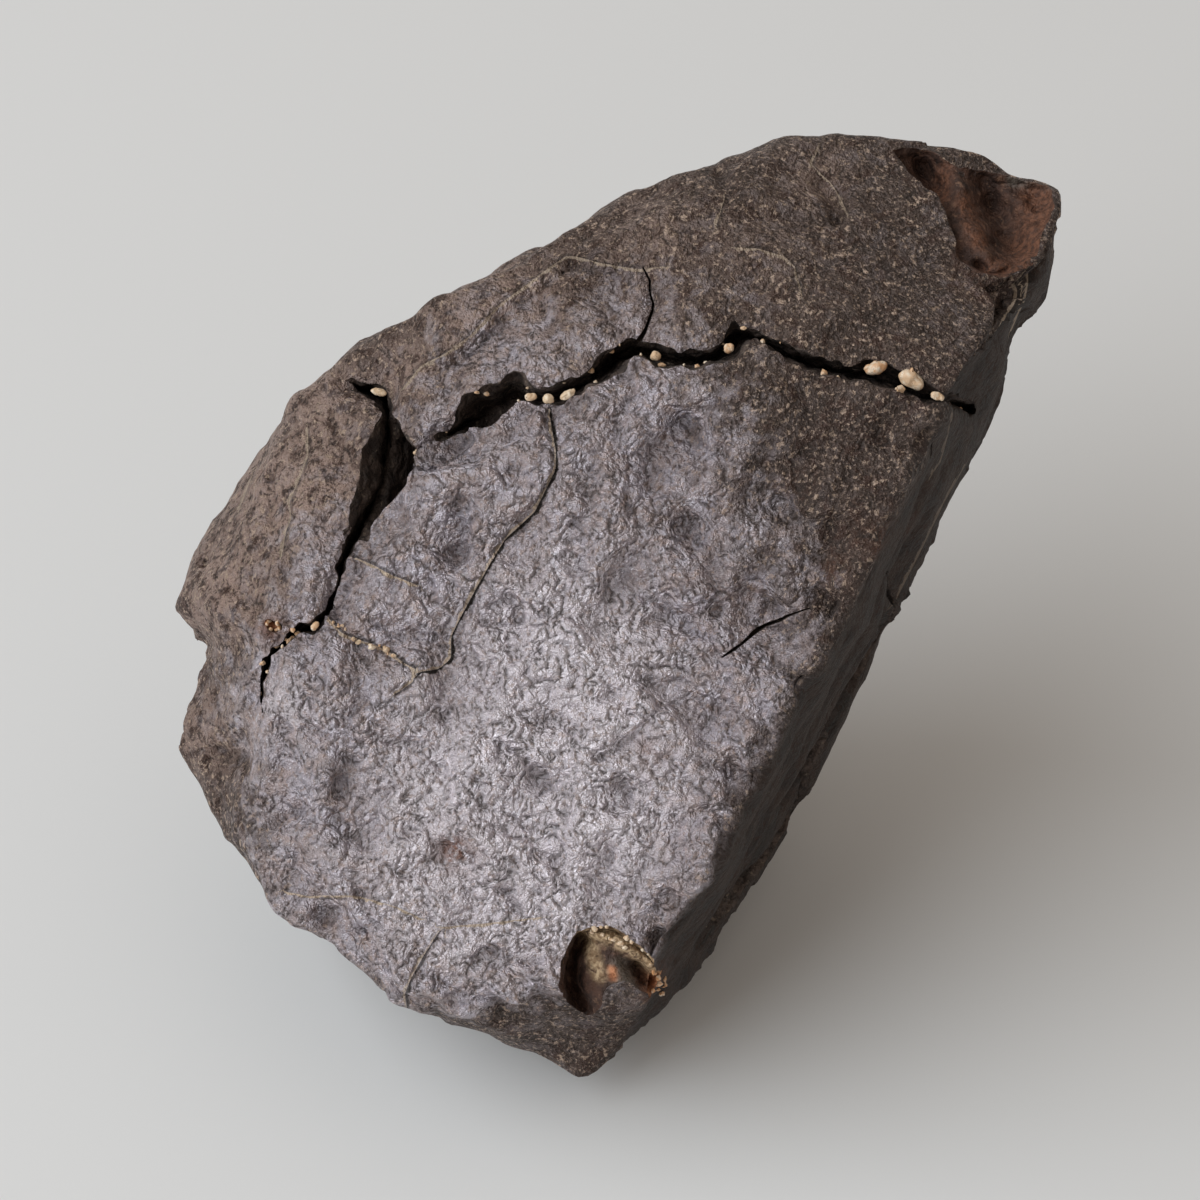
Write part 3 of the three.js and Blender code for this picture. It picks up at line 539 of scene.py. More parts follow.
def onto_flats(points, softness, rounds=4):
    """Draws points onto the flats, with the edges between them worn round."""
    facing, distance = flats_array()
    for _ in range(rounds):
        gap = (points @ facing.T - distance) / softness[:, None]
        top = gap.max(axis=1, keepdims=True)
        share = np.exp(gap - top)
        total = share.sum(axis=1, keepdims=True)
        height = softness * (np.log(total) + top)[:, 0]
        slope = (share / total) @ facing
        points = points - slope * (height / (slope ** 2).sum(axis=1))[:, None]
    return points


def to_route(points, side, route):
    """Distance from a route, positive on its left, the half width there, and share along it."""
    right, up, _ = SIDES[side]
    flat = points @ np.array([right, up], dtype=float).T
    route = np.array(route, dtype=float)
    away = np.full(len(points), np.inf)
    half = np.zeros(len(points))
    along = np.zeros(len(points))
    for i, (a, b) in enumerate(zip(route, route[1:])):
        run = b[:2] - a[:2]
        raw = ((flat - a[:2]) @ run) / (run @ run)
        share = raw.clip(0, 1)
        off = flat - a[:2] - share[:, None] * run
        length = np.hypot(*off.T)
        turn = np.sign(run[0] * off[:, 1] - run[1] * off[:, 0])
        near = length < np.abs(away)
        away = np.where(near, length * np.where(turn == 0, 1, turn), away)
        if route.shape[1] > 2:
            half = np.where(near, a[2] + share * (b[2] - a[2]), half)
        along = np.where(near, (i + raw) / (len(route) - 1), along)
    return away, half, along


def inside_outline(points, outline, margin=0.0):
    """Whether points lie within an outline on the face's drawing, or within margin of it."""
    x, y = points[:, 0], points[:, 1]
    inside = np.zeros(len(points), dtype=bool)
    for (ax, ay), (bx, by) in zip(outline, outline[1:] + outline[:1]):
        with np.errstate(divide="ignore", invalid="ignore"):
            crossing = ax + (y - ay) / (by - ay) * (bx - ax)
        inside ^= ((ay > y) != (by > y)) & (x < crossing)
    away, _, _ = to_route(points, "face", outline + outline[:1])
    return inside | (np.abs(away) < margin)


def swell_like_packed_stone(piece):
    """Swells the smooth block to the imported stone's surface, except where that is cut into."""
    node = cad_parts["stone"]
    shape = [LAY_DOWN @ node.matrix_world @ v.co for v in node.data.vertices]
    tree = BVHTree.FromPolygons(shape, [p.vertices[:] for p in node.data.polygons])
    points = points_of(piece)
    reach = np.linalg.norm(points, axis=1)
    offset = np.zeros(len(points))
    seen = np.zeros(len(points))
    for i, (x, y, z) in enumerate(points / reach[:, None]):
        hit = tree.ray_cast((x * FAR_OUT, y * FAR_OUT, z * FAR_OUT), (-x, -y, -z))[0]
        if hit is not None:
            offset[i] = hit.length - reach[i]
            seen[i] = 1
    for side, depth, route in CRACKS.values():
        away, half, _ = to_route(points, side, route)
        out = points @ np.array(SIDES[side][2], dtype=float)
        seen[(np.abs(away) < half + LOOSE_BESIDE) & (out > 0)] = 0
    for _, _, _, _, outline, _ in OPENINGS.values():
        seen[inside_outline(points, outline, LOOSE_AROUND) & (points[:, 2] > 0)] = 0
    seen[np.abs(offset) > WALL_OFFSET] = 0
    edges = edges_of(piece)
    amount = spread(offset * seen, edges, SWELL_ROUNDS)
    weight = spread(seen, edges, SWELL_ROUNDS)
    least = 0.02
    offset = np.where(weight > least, amount / np.maximum(weight, least), 0)
    move_points(piece, points * (1 + offset / reach)[:, None])


def noise_at(points, size, seed):
    return np.array([noise.noise((x, y, z)) for x, y, z in points / size + seed])


def facets(points, size, seed):
    """Broken facets: every patch of the surface tilts its own way, with soft creases between."""
    crispness = 14
    table_step = 7.3       # sets neighbours far apart in the noise table
    level_share = 0.25     # how much a facet's level changes with its tilt
    heights = []
    for x, y, z in points / size + seed:
        near, centres = noise.voronoi((x, y, z))
        total = 0
        height = 0
        for gap, centre in zip(near, centres):
            weight = math.exp((near[0] - gap) * crispness)
            tilt = noise.noise_vector(centre * table_step)
            height += weight * (tilt.x * (x - centre.x) + tilt.y * (y - centre.y)
                                + tilt.z * (z - centre.z) + level_share * tilt.y)
            total += weight
        heights.append(height / total)
    return np.array(heights)


def creases(points, size, seed):
    """Round swellings with sharp creases between them, from finer to broader."""
    fractal = (0.7, 2.0, 3, 0.9, 1.6)    # fineness, step, octaves, offset, gain
    places = (points / size + seed).tolist()
    return np.array([noise.ridged_multi_fractal(place, *fractal) for place in places])


def nearness(points, centre, radius):
    """1 at a centre, on the drawing or in the stone, and 0 well past the radius."""
    return np.exp(-((points[:, :len(centre)] - centre) ** 2).sum(axis=1) / radius ** 2)


def trough(away, width):
    """1 on a route and 0 well past the width, from the distances away from it."""
    return np.exp(-((away / width) ** 2))


def smooth_step(value, low, high):
    share = ((value - low) / (high - low)).clip(0, 1)
    return share * share * (3 - 2 * share)


def region(points, *names, softness=1.0):
    """How much each point lies on the named flats, from 0 to 1."""
    facing, distance = flats_array()
    gap = (points @ facing.T - distance) / softness
    share = np.exp(gap - gap.max(axis=1, keepdims=True))
    wanted = [list(FLATS).index(name) for name in names]
    return share[:, wanted].sum(axis=1) / share.sum(axis=1)


def refine_front(piece):
    """Splits the mesh of the surfaces that face up from the drawing once more."""
    least_upward = 0.28

    def select_none():
        bpy.ops.mesh.select_mode(type="FACE")
        bpy.ops.mesh.select_all(action="DESELECT")

    in_edit_mode(piece, select_none)
    piece.data.polygons.foreach_set(
        "select", [p.normal.z > least_upward for p in piece.data.polygons]
    )
    in_edit_mode(piece, lambda: bpy.ops.mesh.subdivide(number_cuts=1))


def front(points, side):
    """1 on the half of the stone that a side's drawing shows, 0 behind it."""
    return (points @ np.array(SIDES[side][2], dtype=float) > 0).astype(float)


def carve(piece):
    """Grooves, ridges, ledges and worn crack lips."""
    points = points_of(piece)
    offset = np.zeros(len(points))
    for side, depth, width, route in STROKES.values():
        away, _, _ = to_route(points, side, route)
        offset -= front(points, side) * GROOVE_STRENGTH * depth * trough(away, width)
    for side, drop, run, route in LEDGES.values():
        away, _, along = to_route(points, side, route)
        ends = smooth_step(along, -0.02, 0.12) * smooth_step(-along, -1.02, -0.88)
        fade = smooth_step(away, -0.15, 0.25) * smooth_step(-away, -run, -0.4)
        offset -= front(points, side) * drop * fade * ends
    for side, depth, route in CRACKS.values():
        away, half, _ = to_route(points, side, route)
        beside = np.maximum(np.abs(away) - half, 0)
        strength = min(depth / DEEP_CRACK, 1) * LIP_DROP
        offset -= front(points, side) * strength * trough(beside, LIP_WIDTH)
    move_points(piece, points + normals_of(piece) * offset[:, None])


def pull(piece):
    """Draws single places out or in, as with the fingers in clay."""
    points = points_of(piece)
    for x, y, radius, *shift in PULLS:
        points[:, :2] += nearness(points, (x, y), radius)[:, None] * shift
    move_points(piece, points)


def roughen(piece):
    """The broken and pebbled relief of the crust, strong on the face and faint on the side."""
    points = points_of(piece)
    face = region(points, *FACE_FLATS)
    smooth = region(points, *SMOOTH_FLATS)
    rough = 0.4 + 0.6 * face - 0.2 * smooth
    broken = sum(height * facets(points, size, seed) for height, size, seed in CRUST_FACETS)
    height, size, seed = CRUST_CREASES
    offset = rough * (broken - height * (creases(points, size, seed) - 1.0))
    height, size, seed = EDGE_CHIPS
    on_the_edge = (4 * face * smooth).clip(0, 1)
    offset -= height * (on_the_edge * smooth_step(noise_at(points, size, seed), 0.02, 0.4))
    move_points(piece, points + normals_of(piece) * offset[:, None])


def surface_finder(piece):
    """A function that gives the height of the piece's surface above a point of a drawing."""
    tree = BVHTree.FromPolygons(
        [tuple(p) for p in points_of(piece)], [p.vertices[:] for p in piece.data.polygons]
    )

    def height_at(side, u, v):
        right, up, out = (Vector(direction) for direction in SIDES[side])
        start = right * u + up * v + out * FAR_OUT
        hit = tree.ray_cast(start, -out)[0]
        return hit.dot(out) if hit else 0.0

    return height_at


def resample(route, step):
    """The route with a point every step or so."""
    route = np.array(route, dtype=float)
    lengths = np.hypot(*np.diff(route[:, :2], axis=0).T)
    reach = np.concatenate([[0], np.cumsum(lengths)])
    places = np.linspace(0, reach[-1], max(int(reach[-1] / step), 2) + 1)
    return np.column_stack([np.interp(places, reach, column) for column in route.T])


# Levels of a crack's walls: [share of its depth, share of its width].
WALL_LEVELS = [
    [-0.35, 1.3], [0.0, 1.0], [0.1, 0.9], [0.25, 0.8], [0.45, 0.62], [0.7, 0.42], [1.0, 0.2],
]
LEAST_HALF_WIDTH = 0.04
BANK_SEED = 40         # makes the two banks of a crack ragged in different ways


def ragged_wall(u, v, level, bank, depth):
    """How much wider or narrower than drawn a crack's wall is."""
    coarse = noise.noise((u * 0.9, v * 0.9, level * depth * 0.6 + bank * BANK_SEED))
    return coarse + 0.5 * noise.noise((u * 2.6, v * 2.6, level * depth * 2 + bank * BANK_SEED))


def crack_blade(name, height_at, step):
    """The ragged wedge that a crack takes out of the stone."""
    side, depth, route = CRACKS[name]
    right, up, out = (Vector(direction) for direction in SIDES[side])
    rows = resample(route, step)
    corners = []
    for i, (u, v, half) in enumerate(rows):
        ahead = rows[min(i + 1, len(rows) - 1)] - rows[max(i - 1, 0)]
        du, dv = ahead[:2] / np.hypot(*ahead[:2])
        top = height_at(side, u, v)
        for bank, levels in ((1, WALL_LEVELS), (-1, WALL_LEVELS[::-1])):
            for level, share in levels:
                ragged = 1 + 0.55 * ragged_wall(u, v, level, bank, depth)
                across = bank * max(half * share * ragged, LEAST_HALF_WIDTH)
                place = right * (u - across * dv) + up * (v + across * du)
                corners.append(place + out * (top - level * depth))
    return mesh_piece(name, corners, ring_faces(len(rows), 2 * len(WALL_LEVELS)))


def ring_faces(rows, count):
    """Faces of a closed tube whose corners lie in rows of count each, with both ends capped."""
    faces = [
        (row * count + k, row * count + (k + 1) % count,
         (row + 1) * count + (k + 1) % count, (row + 1) * count + k)
        for row in range(rows - 1) for k in range(count)
    ]
    faces.append(tuple(range(count))[::-1])
    faces.append(tuple(range((rows - 1) * count, rows * count)))
    return faces


def mesh_piece(name, corners, faces):
    mesh = bpy.data.meshes.new(name)
    mesh.from_pydata(corners, [], faces)
    piece = bpy.data.objects.new(name, mesh)
    bpy.context.collection.objects.link(piece)
    return piece


def chip_cutter(outline):
    """A plug with upright walls, which takes a chip off the stone's outline."""
    corners = [(u, v, level) for level in CHIP_LEVELS for u, v in outline]
    return mesh_piece("chip", corners, ring_faces(len(CHIP_LEVELS), len(outline)))


# Levels of an opening's walls: millimetres above the flat below 0, shares of the depth from 0.
OPENING_LEVELS = (-4.0, 0.0, 0.5, 1.0)


def opening_cutter(name):
    """The plug that an opening takes out of the stone, before its walls are made rough."""
    flat, depth, narrowing, shift, outline, _ = OPENINGS[name]
    x, y, z, distance = FLATS[flat]
    outline = np.array(outline)
    middle = outline.mean(axis=0)
    floor = middle + (outline - middle) * narrowing + shift
    corners = []
    for level in OPENING_LEVELS:
        ring = outline + (floor - outline) * max(level, 0)
        for u, v in ring:
            height = (distance * math.hypot(x, y, z) - x * u - y * v) / z
            corners.append((u, v, height - level * (depth if level > 0 else 1)))
    return mesh_piece(name, corners, ring_faces(len(OPENING_LEVELS), len(outline)))


def hollow_floor(cutter, name):
    """Presses the hollows of an opening's floor into its cutter."""
    points = points_of(cutter)
    down = smooth_step(-normals_of(cutter)[:, 2], 0.1, 0.6)
    for depth, width, route in OPENINGS[name][5]:
        away, _, _ = to_route(points, "face", route)
        points[:, 2] -= down * depth * trough(away, width)
    move_points(cutter, points)


def join(pieces, name):
    select_only(pieces[0])
    for piece in pieces:
        piece.select_set(True)
    bpy.ops.object.join()
    joined = bpy.context.object
    joined.name = name
    return joined


def outward(piece):
    def turn():
        bpy.ops.mesh.select_all(action="SELECT")
        bpy.ops.mesh.normals_make_consistent(inside=False)

    in_edit_mode(piece, turn)


def fused_cutter(pieces, name, cell, rag, openings=()):
    """Fuses cutters into one closed form with rough walls."""
    for piece in pieces:
        outward(piece)
    cutter = join(pieces, name)
    apply_modifier(cutter, "REMESH", mode="VOXEL", voxel_size=cell)
    for opening in openings:
        hollow_floor(cutter, opening)
    points = points_of(cutter)
    height, size, seed = WALL_FACETS
    offset = facets(points, size, seed) * height
    height, size, seed = WALL_GRIT
    offset = rag * (offset + height * noise_at(points, size, seed))
    move_points(cutter, points + normals_of(cutter) * offset[:, None])
    return cutter


def cut_away(piece, cutter, finish):
    """Takes the cutter out of the piece; the new walls get their own finish."""
    cutter.data.materials.clear()
    cutter.data.materials.append(finish)
    apply_modifier(
        piece, "BOOLEAN", operation="DIFFERENCE", object=cutter, solver="MANIFOLD",
        material_mode="TRANSFER",
    )
    bpy.data.objects.remove(cutter)


def keep_largest(piece):
    """Deletes crumbs that a cut has left loose."""
    edges = edges_of(piece)
    label = np.arange(len(piece.data.vertices))
    while True:
        lowest = np.minimum(label[edges[:, 0]], label[edges[:, 1]])
        old = label.copy()
        np.minimum.at(label, edges[:, 0], lowest)
        np.minimum.at(label, edges[:, 1], lowest)
        label = label[label]
        if (label == old).all():
            break
    names, counts = np.unique(label, return_counts=True)
    keep = names[counts.argmax()]
    in_edit_mode(piece, lambda: (
        bpy.ops.mesh.select_mode(type="VERT"), bpy.ops.mesh.select_all(action="DESELECT")
    ))
    piece.data.vertices.foreach_set("select", label != keep)
    in_edit_mode(piece, lambda: bpy.ops.mesh.delete(type="VERT"))


def store(piece, name, values):
    layer = piece.data.attributes.new(name, "FLOAT", "POINT")
    layer.data.foreach_set("value", np.asarray(values, dtype=np.float32))


# ---- Finishes ---------------------------------------------------------------------------------

# Sockets of the Mix node, which has a set for every kind of data.
MIX_SHARE, MIX_FIRST, MIX_SECOND, MIX_RESULT = 0, 6, 7, 2


def feed(tree, socket, value):
    """Links another node's output to a socket, or gives the socket a value of its own."""
    if isinstance(value, bpy.types.NodeSocket):
        tree.links.new(value, socket)
    else:
        socket.default_value = value


def new_node(tree, kind, inputs=None, **settings):
    node = tree.nodes.new(kind)
    for name, value in settings.items():
        setattr(node, name, value)
    for name, value in (inputs or {}).items():
        feed(tree, node.inputs[name], value)
    return node


def new_group(name, inputs, outputs):
    tree = bpy.data.node_groups.new(name, "ShaderNodeTree")
    for label, kind, value in inputs:
        socket = tree.interface.new_socket(label, in_out="INPUT", socket_type="NodeSocket" + kind)
        if value is not None:
            socket.default_value = value
    for label, kind in outputs:
        tree.interface.new_socket(label, in_out="OUTPUT", socket_type="NodeSocket" + kind)
    return tree, tree.nodes.new("NodeGroupInput").outputs, tree.nodes.new("NodeGroupOutput")


def math_node(tree, operation, a, b=0.0):
    node = new_node(tree, "ShaderNodeMath", operation=operation)
    feed(tree, node.inputs[0], a)
    feed(tree, node.inputs[1], b)
    return node.outputs[0]


def plus(tree, a, b):
    return math_node(tree, "ADD", a, b)


def minus(tree, a, b):
    return math_node(tree, "SUBTRACT", a, b)


def times(tree, a, b):
    return math_node(tree, "MULTIPLY", a, b)


def mix_colours(tree, share, first, second):
    node = new_node(tree, "ShaderNodeMix", data_type="RGBA")
    feed(tree, node.inputs[MIX_SHARE], share)
    for index, colour in ((MIX_FIRST, first), (MIX_SECOND, second)):
        feed(tree, node.inputs[index], (*colour, 1) if isinstance(colour, tuple) else colour)
    return node.outputs[MIX_RESULT]


def coated(tree, colour, coats):
    """Lays coats of [mask, colour] over a colour, one after the other."""
    for mask, coat in coats:
        colour = mix_colours(tree, mask, colour, coat)
    return colour


def between(tree, value, low, high, start=0.0, end=1.0):
    node = new_node(tree, "ShaderNodeMapRange", {
        "Value": value, "From Min": low, "From Max": high, "To Min": start, "To Max": end,
    }, interpolation_type="SMOOTHSTEP")
    return node.outputs["Result"]


def attribute(tree, name):
    return new_node(tree, "ShaderNodeAttribute", attribute_name=name).outputs["Fac"]


def place_in_mm(tree):
    """The place on the piece, in millimetres."""
    place = new_node(tree, "ShaderNodeTexCoord").outputs["Object"]
    scale = (1 / MM, 1 / MM, 1 / MM)
    return new_node(tree, "ShaderNodeMapping", {"Vector": place, "Scale": scale}).outputs["Vector"]


def over(tree, size):
    return math_node(tree, "DIVIDE", 1.0, size)


def make_relief_group():
    """Crumbs of crust with sharp creases between them, and finer grain on top."""
    tree, given, result = new_group(
        "pebbled relief",
        [("Place", "Vector", None), ("Size", "Float", 1.6), ("Folds", "Float", 1.0),
         ("Grain", "Float", 0.6)],
        [("Height", "Float"), ("Crease", "Float"), ("Top", "Float")],
    )
    level = 0.8            # height of the relief where the folds are nil
    grain_share = 0.24     # size of the grains beside the folds'
    ridges = new_node(tree, "ShaderNodeTexNoise", {
        "Vector": given["Place"], "Scale": over(tree, given["Size"]), "Detail": 3.0,
        "Roughness": 0.6, "Distortion": 0.3, "Offset": 0.9, "Gain": 1.6,
    }, noise_type="RIDGED_MULTIFRACTAL", normalize=False).outputs["Fac"]
    grains = new_node(tree, "ShaderNodeTexNoise", {
        "Vector": given["Place"], "Scale": over(tree, times(tree, given["Size"], grain_share)),
        "Detail": 2.0, "Roughness": 0.7,
    }).outputs["Fac"]
    folds = minus(tree, minus(tree, 1.3, times(tree, ridges, 0.55)), level)
    folds = plus(tree, level, times(tree, given["Folds"], folds))
    height = plus(tree, folds, times(tree, given["Grain"], minus(tree, grains, 0.5)))
    tree.links.new(height, result.inputs["Height"])
    tree.links.new(between(tree, height, 0.34, 0.7, 1.0, 0.0), result.inputs["Crease"])
    tree.links.new(between(tree, grains, 0.53, 0.66), result.inputs["Top"])
    return tree


def make_blotch_group():
    """Cloudy blotches: a mask that is 1 inside them."""
    tree, given, result = new_group(
        "blotches",
        [("Place", "Vector", None), ("Size", "Float", 3.0), ("Balance", "Float", 0.5),
         ("Softness", "Float", 0.1)],
        [("Mask", "Float")],
    )
    cloud = new_node(tree, "ShaderNodeTexNoise", {
        "Vector": given["Place"], "Scale": over(tree, given["Size"]), "Detail": 4.0,
        "Roughness": 0.6,
    })
    low = minus(tree, given["Balance"], given["Softness"])
    high = plus(tree, given["Balance"], given["Softness"])
    tree.links.new(between(tree, cloud.outputs["Fac"], low, high), result.inputs["Mask"])
    return tree


RELIEF = make_relief_group()
BLOTCHES = make_blotch_group()


def use_group(tree, group, **inputs):
    node = new_node(tree, "ShaderNodeGroup", node_tree=group)
    for name, value in inputs.items():
        feed(tree, node.inputs[name.title()], value)
    return node.outputs


def blotches(tree, place, size, balance=0.5, softness=0.1):
    inputs = {"place": place, "size": size, "balance": balance, "softness": softness}
    return use_group(tree, BLOTCHES, **inputs)["Mask"]


def new_material(name):
    material = bpy.data.materials.new(name)
    material.use_nodes = True
    return material, material.node_tree, material.node_tree.nodes["Principled BSDF"]


def bump(tree, height, distance):
    node = new_node(tree, "ShaderNodeBump", {"Height": height, "Distance": distance})
    return node.outputs["Normal"]


# Colours of the crust.
MATTE_DARK, MATTE_BROWN = (0.065, 0.042, 0.034), (0.13, 0.09, 0.075)
# The second colour lightens the tops of the relief: partly dust, partly a painted highlight.
MATTE_BLOTCH, MATTE_DUST_AND_HIGHLIGHT, MATTE_SPECK = (0.09, 0.048, 0.036), (0.5, 0.37, 0.31), (0.62, 0.46, 0.36)
DUST_TAN = (0.52, 0.365, 0.31)
VARNISH_GREY, VARNISH_VIOLET = (0.48, 0.41, 0.425), (0.58, 0.53, 0.59)
# The second colour is a painted glare, laid where the varnish runs past 1.
VARNISH_WARM, VARNISH_GLARE = (0.5, 0.38, 0.35), (0.84, 0.77, 0.82)
# The first colour is a painted highlight on the tops of the relief.
VARNISH_HIGHLIGHT, VARNISH_SPECK = (0.84, 0.82, 0.89), (0.44, 0.31, 0.25)
# Near-black colours of the smooth right side: painted shade over its own dark brown.
SATIN_SHADE_DARK, SATIN_SHADE_BROWN = (0.014, 0.0075, 0.0055), (0.032, 0.017, 0.011)
# Painted shade: the dark colours laid into the creases and hollows of the relief.
CREASE_SHADE, CAVITY_SHADE = (0.05, 0.03, 0.024), (0.03, 0.021, 0.018)
RUST_RED = (0.17, 0.065, 0.034)
# The second colour is a painted shadow along one side of each vein and of the right side's gap.
VEIN_PALE, VEIN_SHADOW = (0.6, 0.47, 0.36), (0.02, 0.015, 0.012)

# How much each mask adds to the crust's roughness.
TOP_SHINE, CREASE_DULLNESS, SATIN_DULLNESS, FLECK_SHINE = -0.12, 0.25, 0.2, -0.2
CRUST_BUMP, BREAK_BUMP, SAND_BUMP = 0.0009, 0.0005, 0.00006


def matte_colour(tree, place, mottle, speck, top):
    """Dry brown crust, with dust, rusty blotches, pale specks, and tops of the relief painted
    paler, partly as dust and partly as a highlight.
    """
    return coated(tree, mix_colours(tree, mottle, MATTE_DARK, MATTE_BROWN), [
        (attribute(tree, "dust"), DUST_TAN),
        (blotches(tree, place, 1.4, 0.55, 0.08), MATTE_BLOTCH),
        (times(tree, top, 0.65), MATTE_DUST_AND_HIGHLIGHT),
        (speck, MATTE_SPECK),
    ])


def varnish_colour(tree, place, mottle, speck, top, glare):
    """Grey desert varnish, painted paler as glare where the varnish runs past 1, and painted paler
    as a highlight on the tops of the relief.
    """
    return coated(tree, mix_colours(tree, mottle, VARNISH_GREY, VARNISH_VIOLET), [
        (times(tree, blotches(tree, place, 1.1, 0.55, 0.1), 0.6), VARNISH_WARM),
        (glare, VARNISH_GLARE),
        (times(tree, top, 0.5), VARNISH_HIGHLIGHT),
        (times(tree, speck, 0.5), VARNISH_SPECK),
    ])


def vein_lines(tree, place):
    """Masks of the line along a vein, of uneven width, and of the shadow on its other side."""
    side = attribute(tree, "vein_distance")
    width = plus(tree, 0.05, times(tree, blotches(tree, place, 1.0, 0.5, 0.2), 0.25))
    past = minus(tree, math_node(tree, "ABSOLUTE", side), width)
    line = times(tree, between(tree, side, -0.02, 0.02, 1.0, 0.0),
                 between(tree, past, -0.04, 0.04, 1.0, 0.0))
    shadow = times(tree, between(tree, side, 0.0, 0.03),
                   between(tree, past, -0.02, 0.12, 1.0, 0.0))
    return line, shadow


def glints(tree, place):
    """Scattered dots of brighter varnish, in about a fifth of the cells."""
    cells = new_node(tree, "ShaderNodeTexVoronoi", {"Vector": place, "Scale": 2.6}).outputs
    lot = new_node(tree, "ShaderNodeSeparateColor", {"Color": cells["Color"]}).outputs["Red"]
    dots = between(tree, cells["Distance"], 0.25, 0.4, 1.0, 0.0)
    return times(tree, dots, between(tree, lot, 0.75, 0.85))


def make_crust(name):
    """Desert varnish over the weathered crust: glossy grey-brown, matte brown, or the smooth dark
    right side, whose near-black colour is painted shade.
    """
    material, tree, skin = new_material(name)
    place = place_in_mm(tree)
    varnish = attribute(tree, "varnish")
    shaded_satin = attribute(tree, "shaded_satin")
    rusty = times(tree, attribute(tree, "rust"), blotches(tree, place, 0.9, 0.45, 0.1))
    line, shadow = vein_lines(tree, place)

    mottle = blotches(tree, place, 2.4, 0.5, 0.15)
    speck = blotches(tree, place, 0.5, 0.6, 0.04)
    uneven = times(tree, minus(tree, blotches(tree, place, 1.7), 0.5), 0.4)
    glossy = between(tree, plus(tree, varnish, uneven), 0.1, 0.9)
    # Painted glare: the share of the varnish past 1.
    glare = between(tree, varnish, 1.0, VARNISH_FULL_GLARE)
    patch = blotches(tree, place, 2.6, 0.5, 0.25)
    relief = use_group(
        tree, RELIEF, place=place, size=1.15, folds=between(tree, patch, 0.0, 1.0, 0.75, 1.6),
        grain=between(tree, glossy, 0.0, 1.0, 1.7, 0.7),
    )
    crease, top = relief["Crease"], relief["Top"]

    colour = mix_colours(
        tree, glossy, matte_colour(tree, place, mottle, speck, top),
        varnish_colour(tree, place, mottle, speck, top, glare),
    )
    colour = coated(tree, colour, [
        # The smooth right side is painted near-black here, as shade.
        (shaded_satin, mix_colours(tree, mottle, SATIN_SHADE_DARK, SATIN_SHADE_BROWN)),
        # Creases and hollows of the relief are painted darker, as shade.
        (times(tree, crease, 0.75), CREASE_SHADE),
        (between(tree, attribute(tree, "cavity"), 0.1, 1.0, 0.0, 0.25), CAVITY_SHADE),
        (rusty, RUST_RED),
        (times(tree, line, attribute(tree, "vein_pale")), VEIN_PALE),
        (times(tree, shadow, attribute(tree, "vein_shadow_strength")), VEIN_SHADOW),
    ])
    tree.links.new(colour, skin.inputs["Base Color"])

    rough = between(tree, glossy, 0.0, 1.0, 0.55, 0.41)
    for mask, change in (
        (top, TOP_SHINE), (crease, CREASE_DULLNESS), (shaded_satin, SATIN_DULLNESS),
        (times(tree, glossy, glints(tree, place)), FLECK_SHINE),
    ):
        rough = plus(tree, rough, times(tree, mask, change))
    tree.links.new(rough, skin.inputs["Roughness"])
    lustre = between(tree, glossy, 0.0, 1.0, 0.15, 0.6)
    for dull in (crease, shaded_satin, line, rusty):
        lustre = times(tree, lustre, minus(tree, 1.0, dull))
    tree.links.new(lustre, skin.inputs["Metallic"])
    calm = minus(tree, 1.0, times(tree, shaded_satin, 0.8))
    height = times(tree, relief["Height"], calm)
    tree.links.new(bump(tree, height, CRUST_BUMP), skin.inputs["Normal"])
    return material


# The two shades of every stain inside a broken place.
STAIN_SHADES = {
    "ash": ((0.1, 0.08, 0.065), (0.16, 0.13, 0.11)),
    "russet": ((0.07, 0.027, 0.014), (0.16, 0.065, 0.034)),
    "orange": ((0.26, 0.09, 0.035), (0.5, 0.21, 0.1)),
    "straw": ((0.24, 0.15, 0.08), (0.54, 0.39, 0.24)),
}


def make_broken(name, deep, warm, speck, stains=()):
    """Freshly broken stone, matte and grainy, with stains where their attributes are set."""
    material, tree, skin = new_material(name)
    place = place_in_mm(tree)
    height = use_group(tree, RELIEF, place=place, size=2.2, grain=0.8)["Height"]
    colour = mix_colours(tree, blotches(tree, place, 1.4), deep, warm)
    colour = mix_colours(tree, blotches(tree, place, 0.5, 0.62, 0.05), colour, speck)
    for stain in stains:
        shade = mix_colours(tree, blotches(tree, place, 0.5, 0.5, 0.12), *STAIN_SHADES[stain])
        mask = times(tree, attribute(tree, stain), between(tree, height, 0.3, 0.6))
        colour = mix_colours(tree, mask, colour, shade)
    tree.links.new(colour, skin.inputs["Base Color"])
    skin.inputs["Roughness"].default_value = 0.75
    tree.links.new(bump(tree, height, BREAK_BUMP), skin.inputs["Normal"])
    return material


def make_sand():
    """Tan quartz and feldspar sand; the tint attribute turns it from cream to orange."""
    material, tree, skin = new_material("desert sand")
    place = place_in_mm(tree)
    cream, orange = (0.62, 0.48, 0.33), (0.6, 0.3, 0.13)
    pale, dark = (0.78, 0.66, 0.52), (0.22, 0.13, 0.07)
    colour = coated(tree, mix_colours(tree, attribute(tree, "tint"), cream, orange), [
        (blotches(tree, place, 0.5, 0.55, 0.12), pale),
        (blotches(tree, place, 0.25, 0.64, 0.05), dark),
    ])
    tree.links.new(colour, skin.inputs["Base Color"])
    skin.inputs["Roughness"].default_value = 0.45
    height = use_group(tree, RELIEF, place=place, size=1.2, grain=0.8)["Height"]
    tree.links.new(bump(tree, height, SAND_BUMP), skin.inputs["Normal"])
    return material


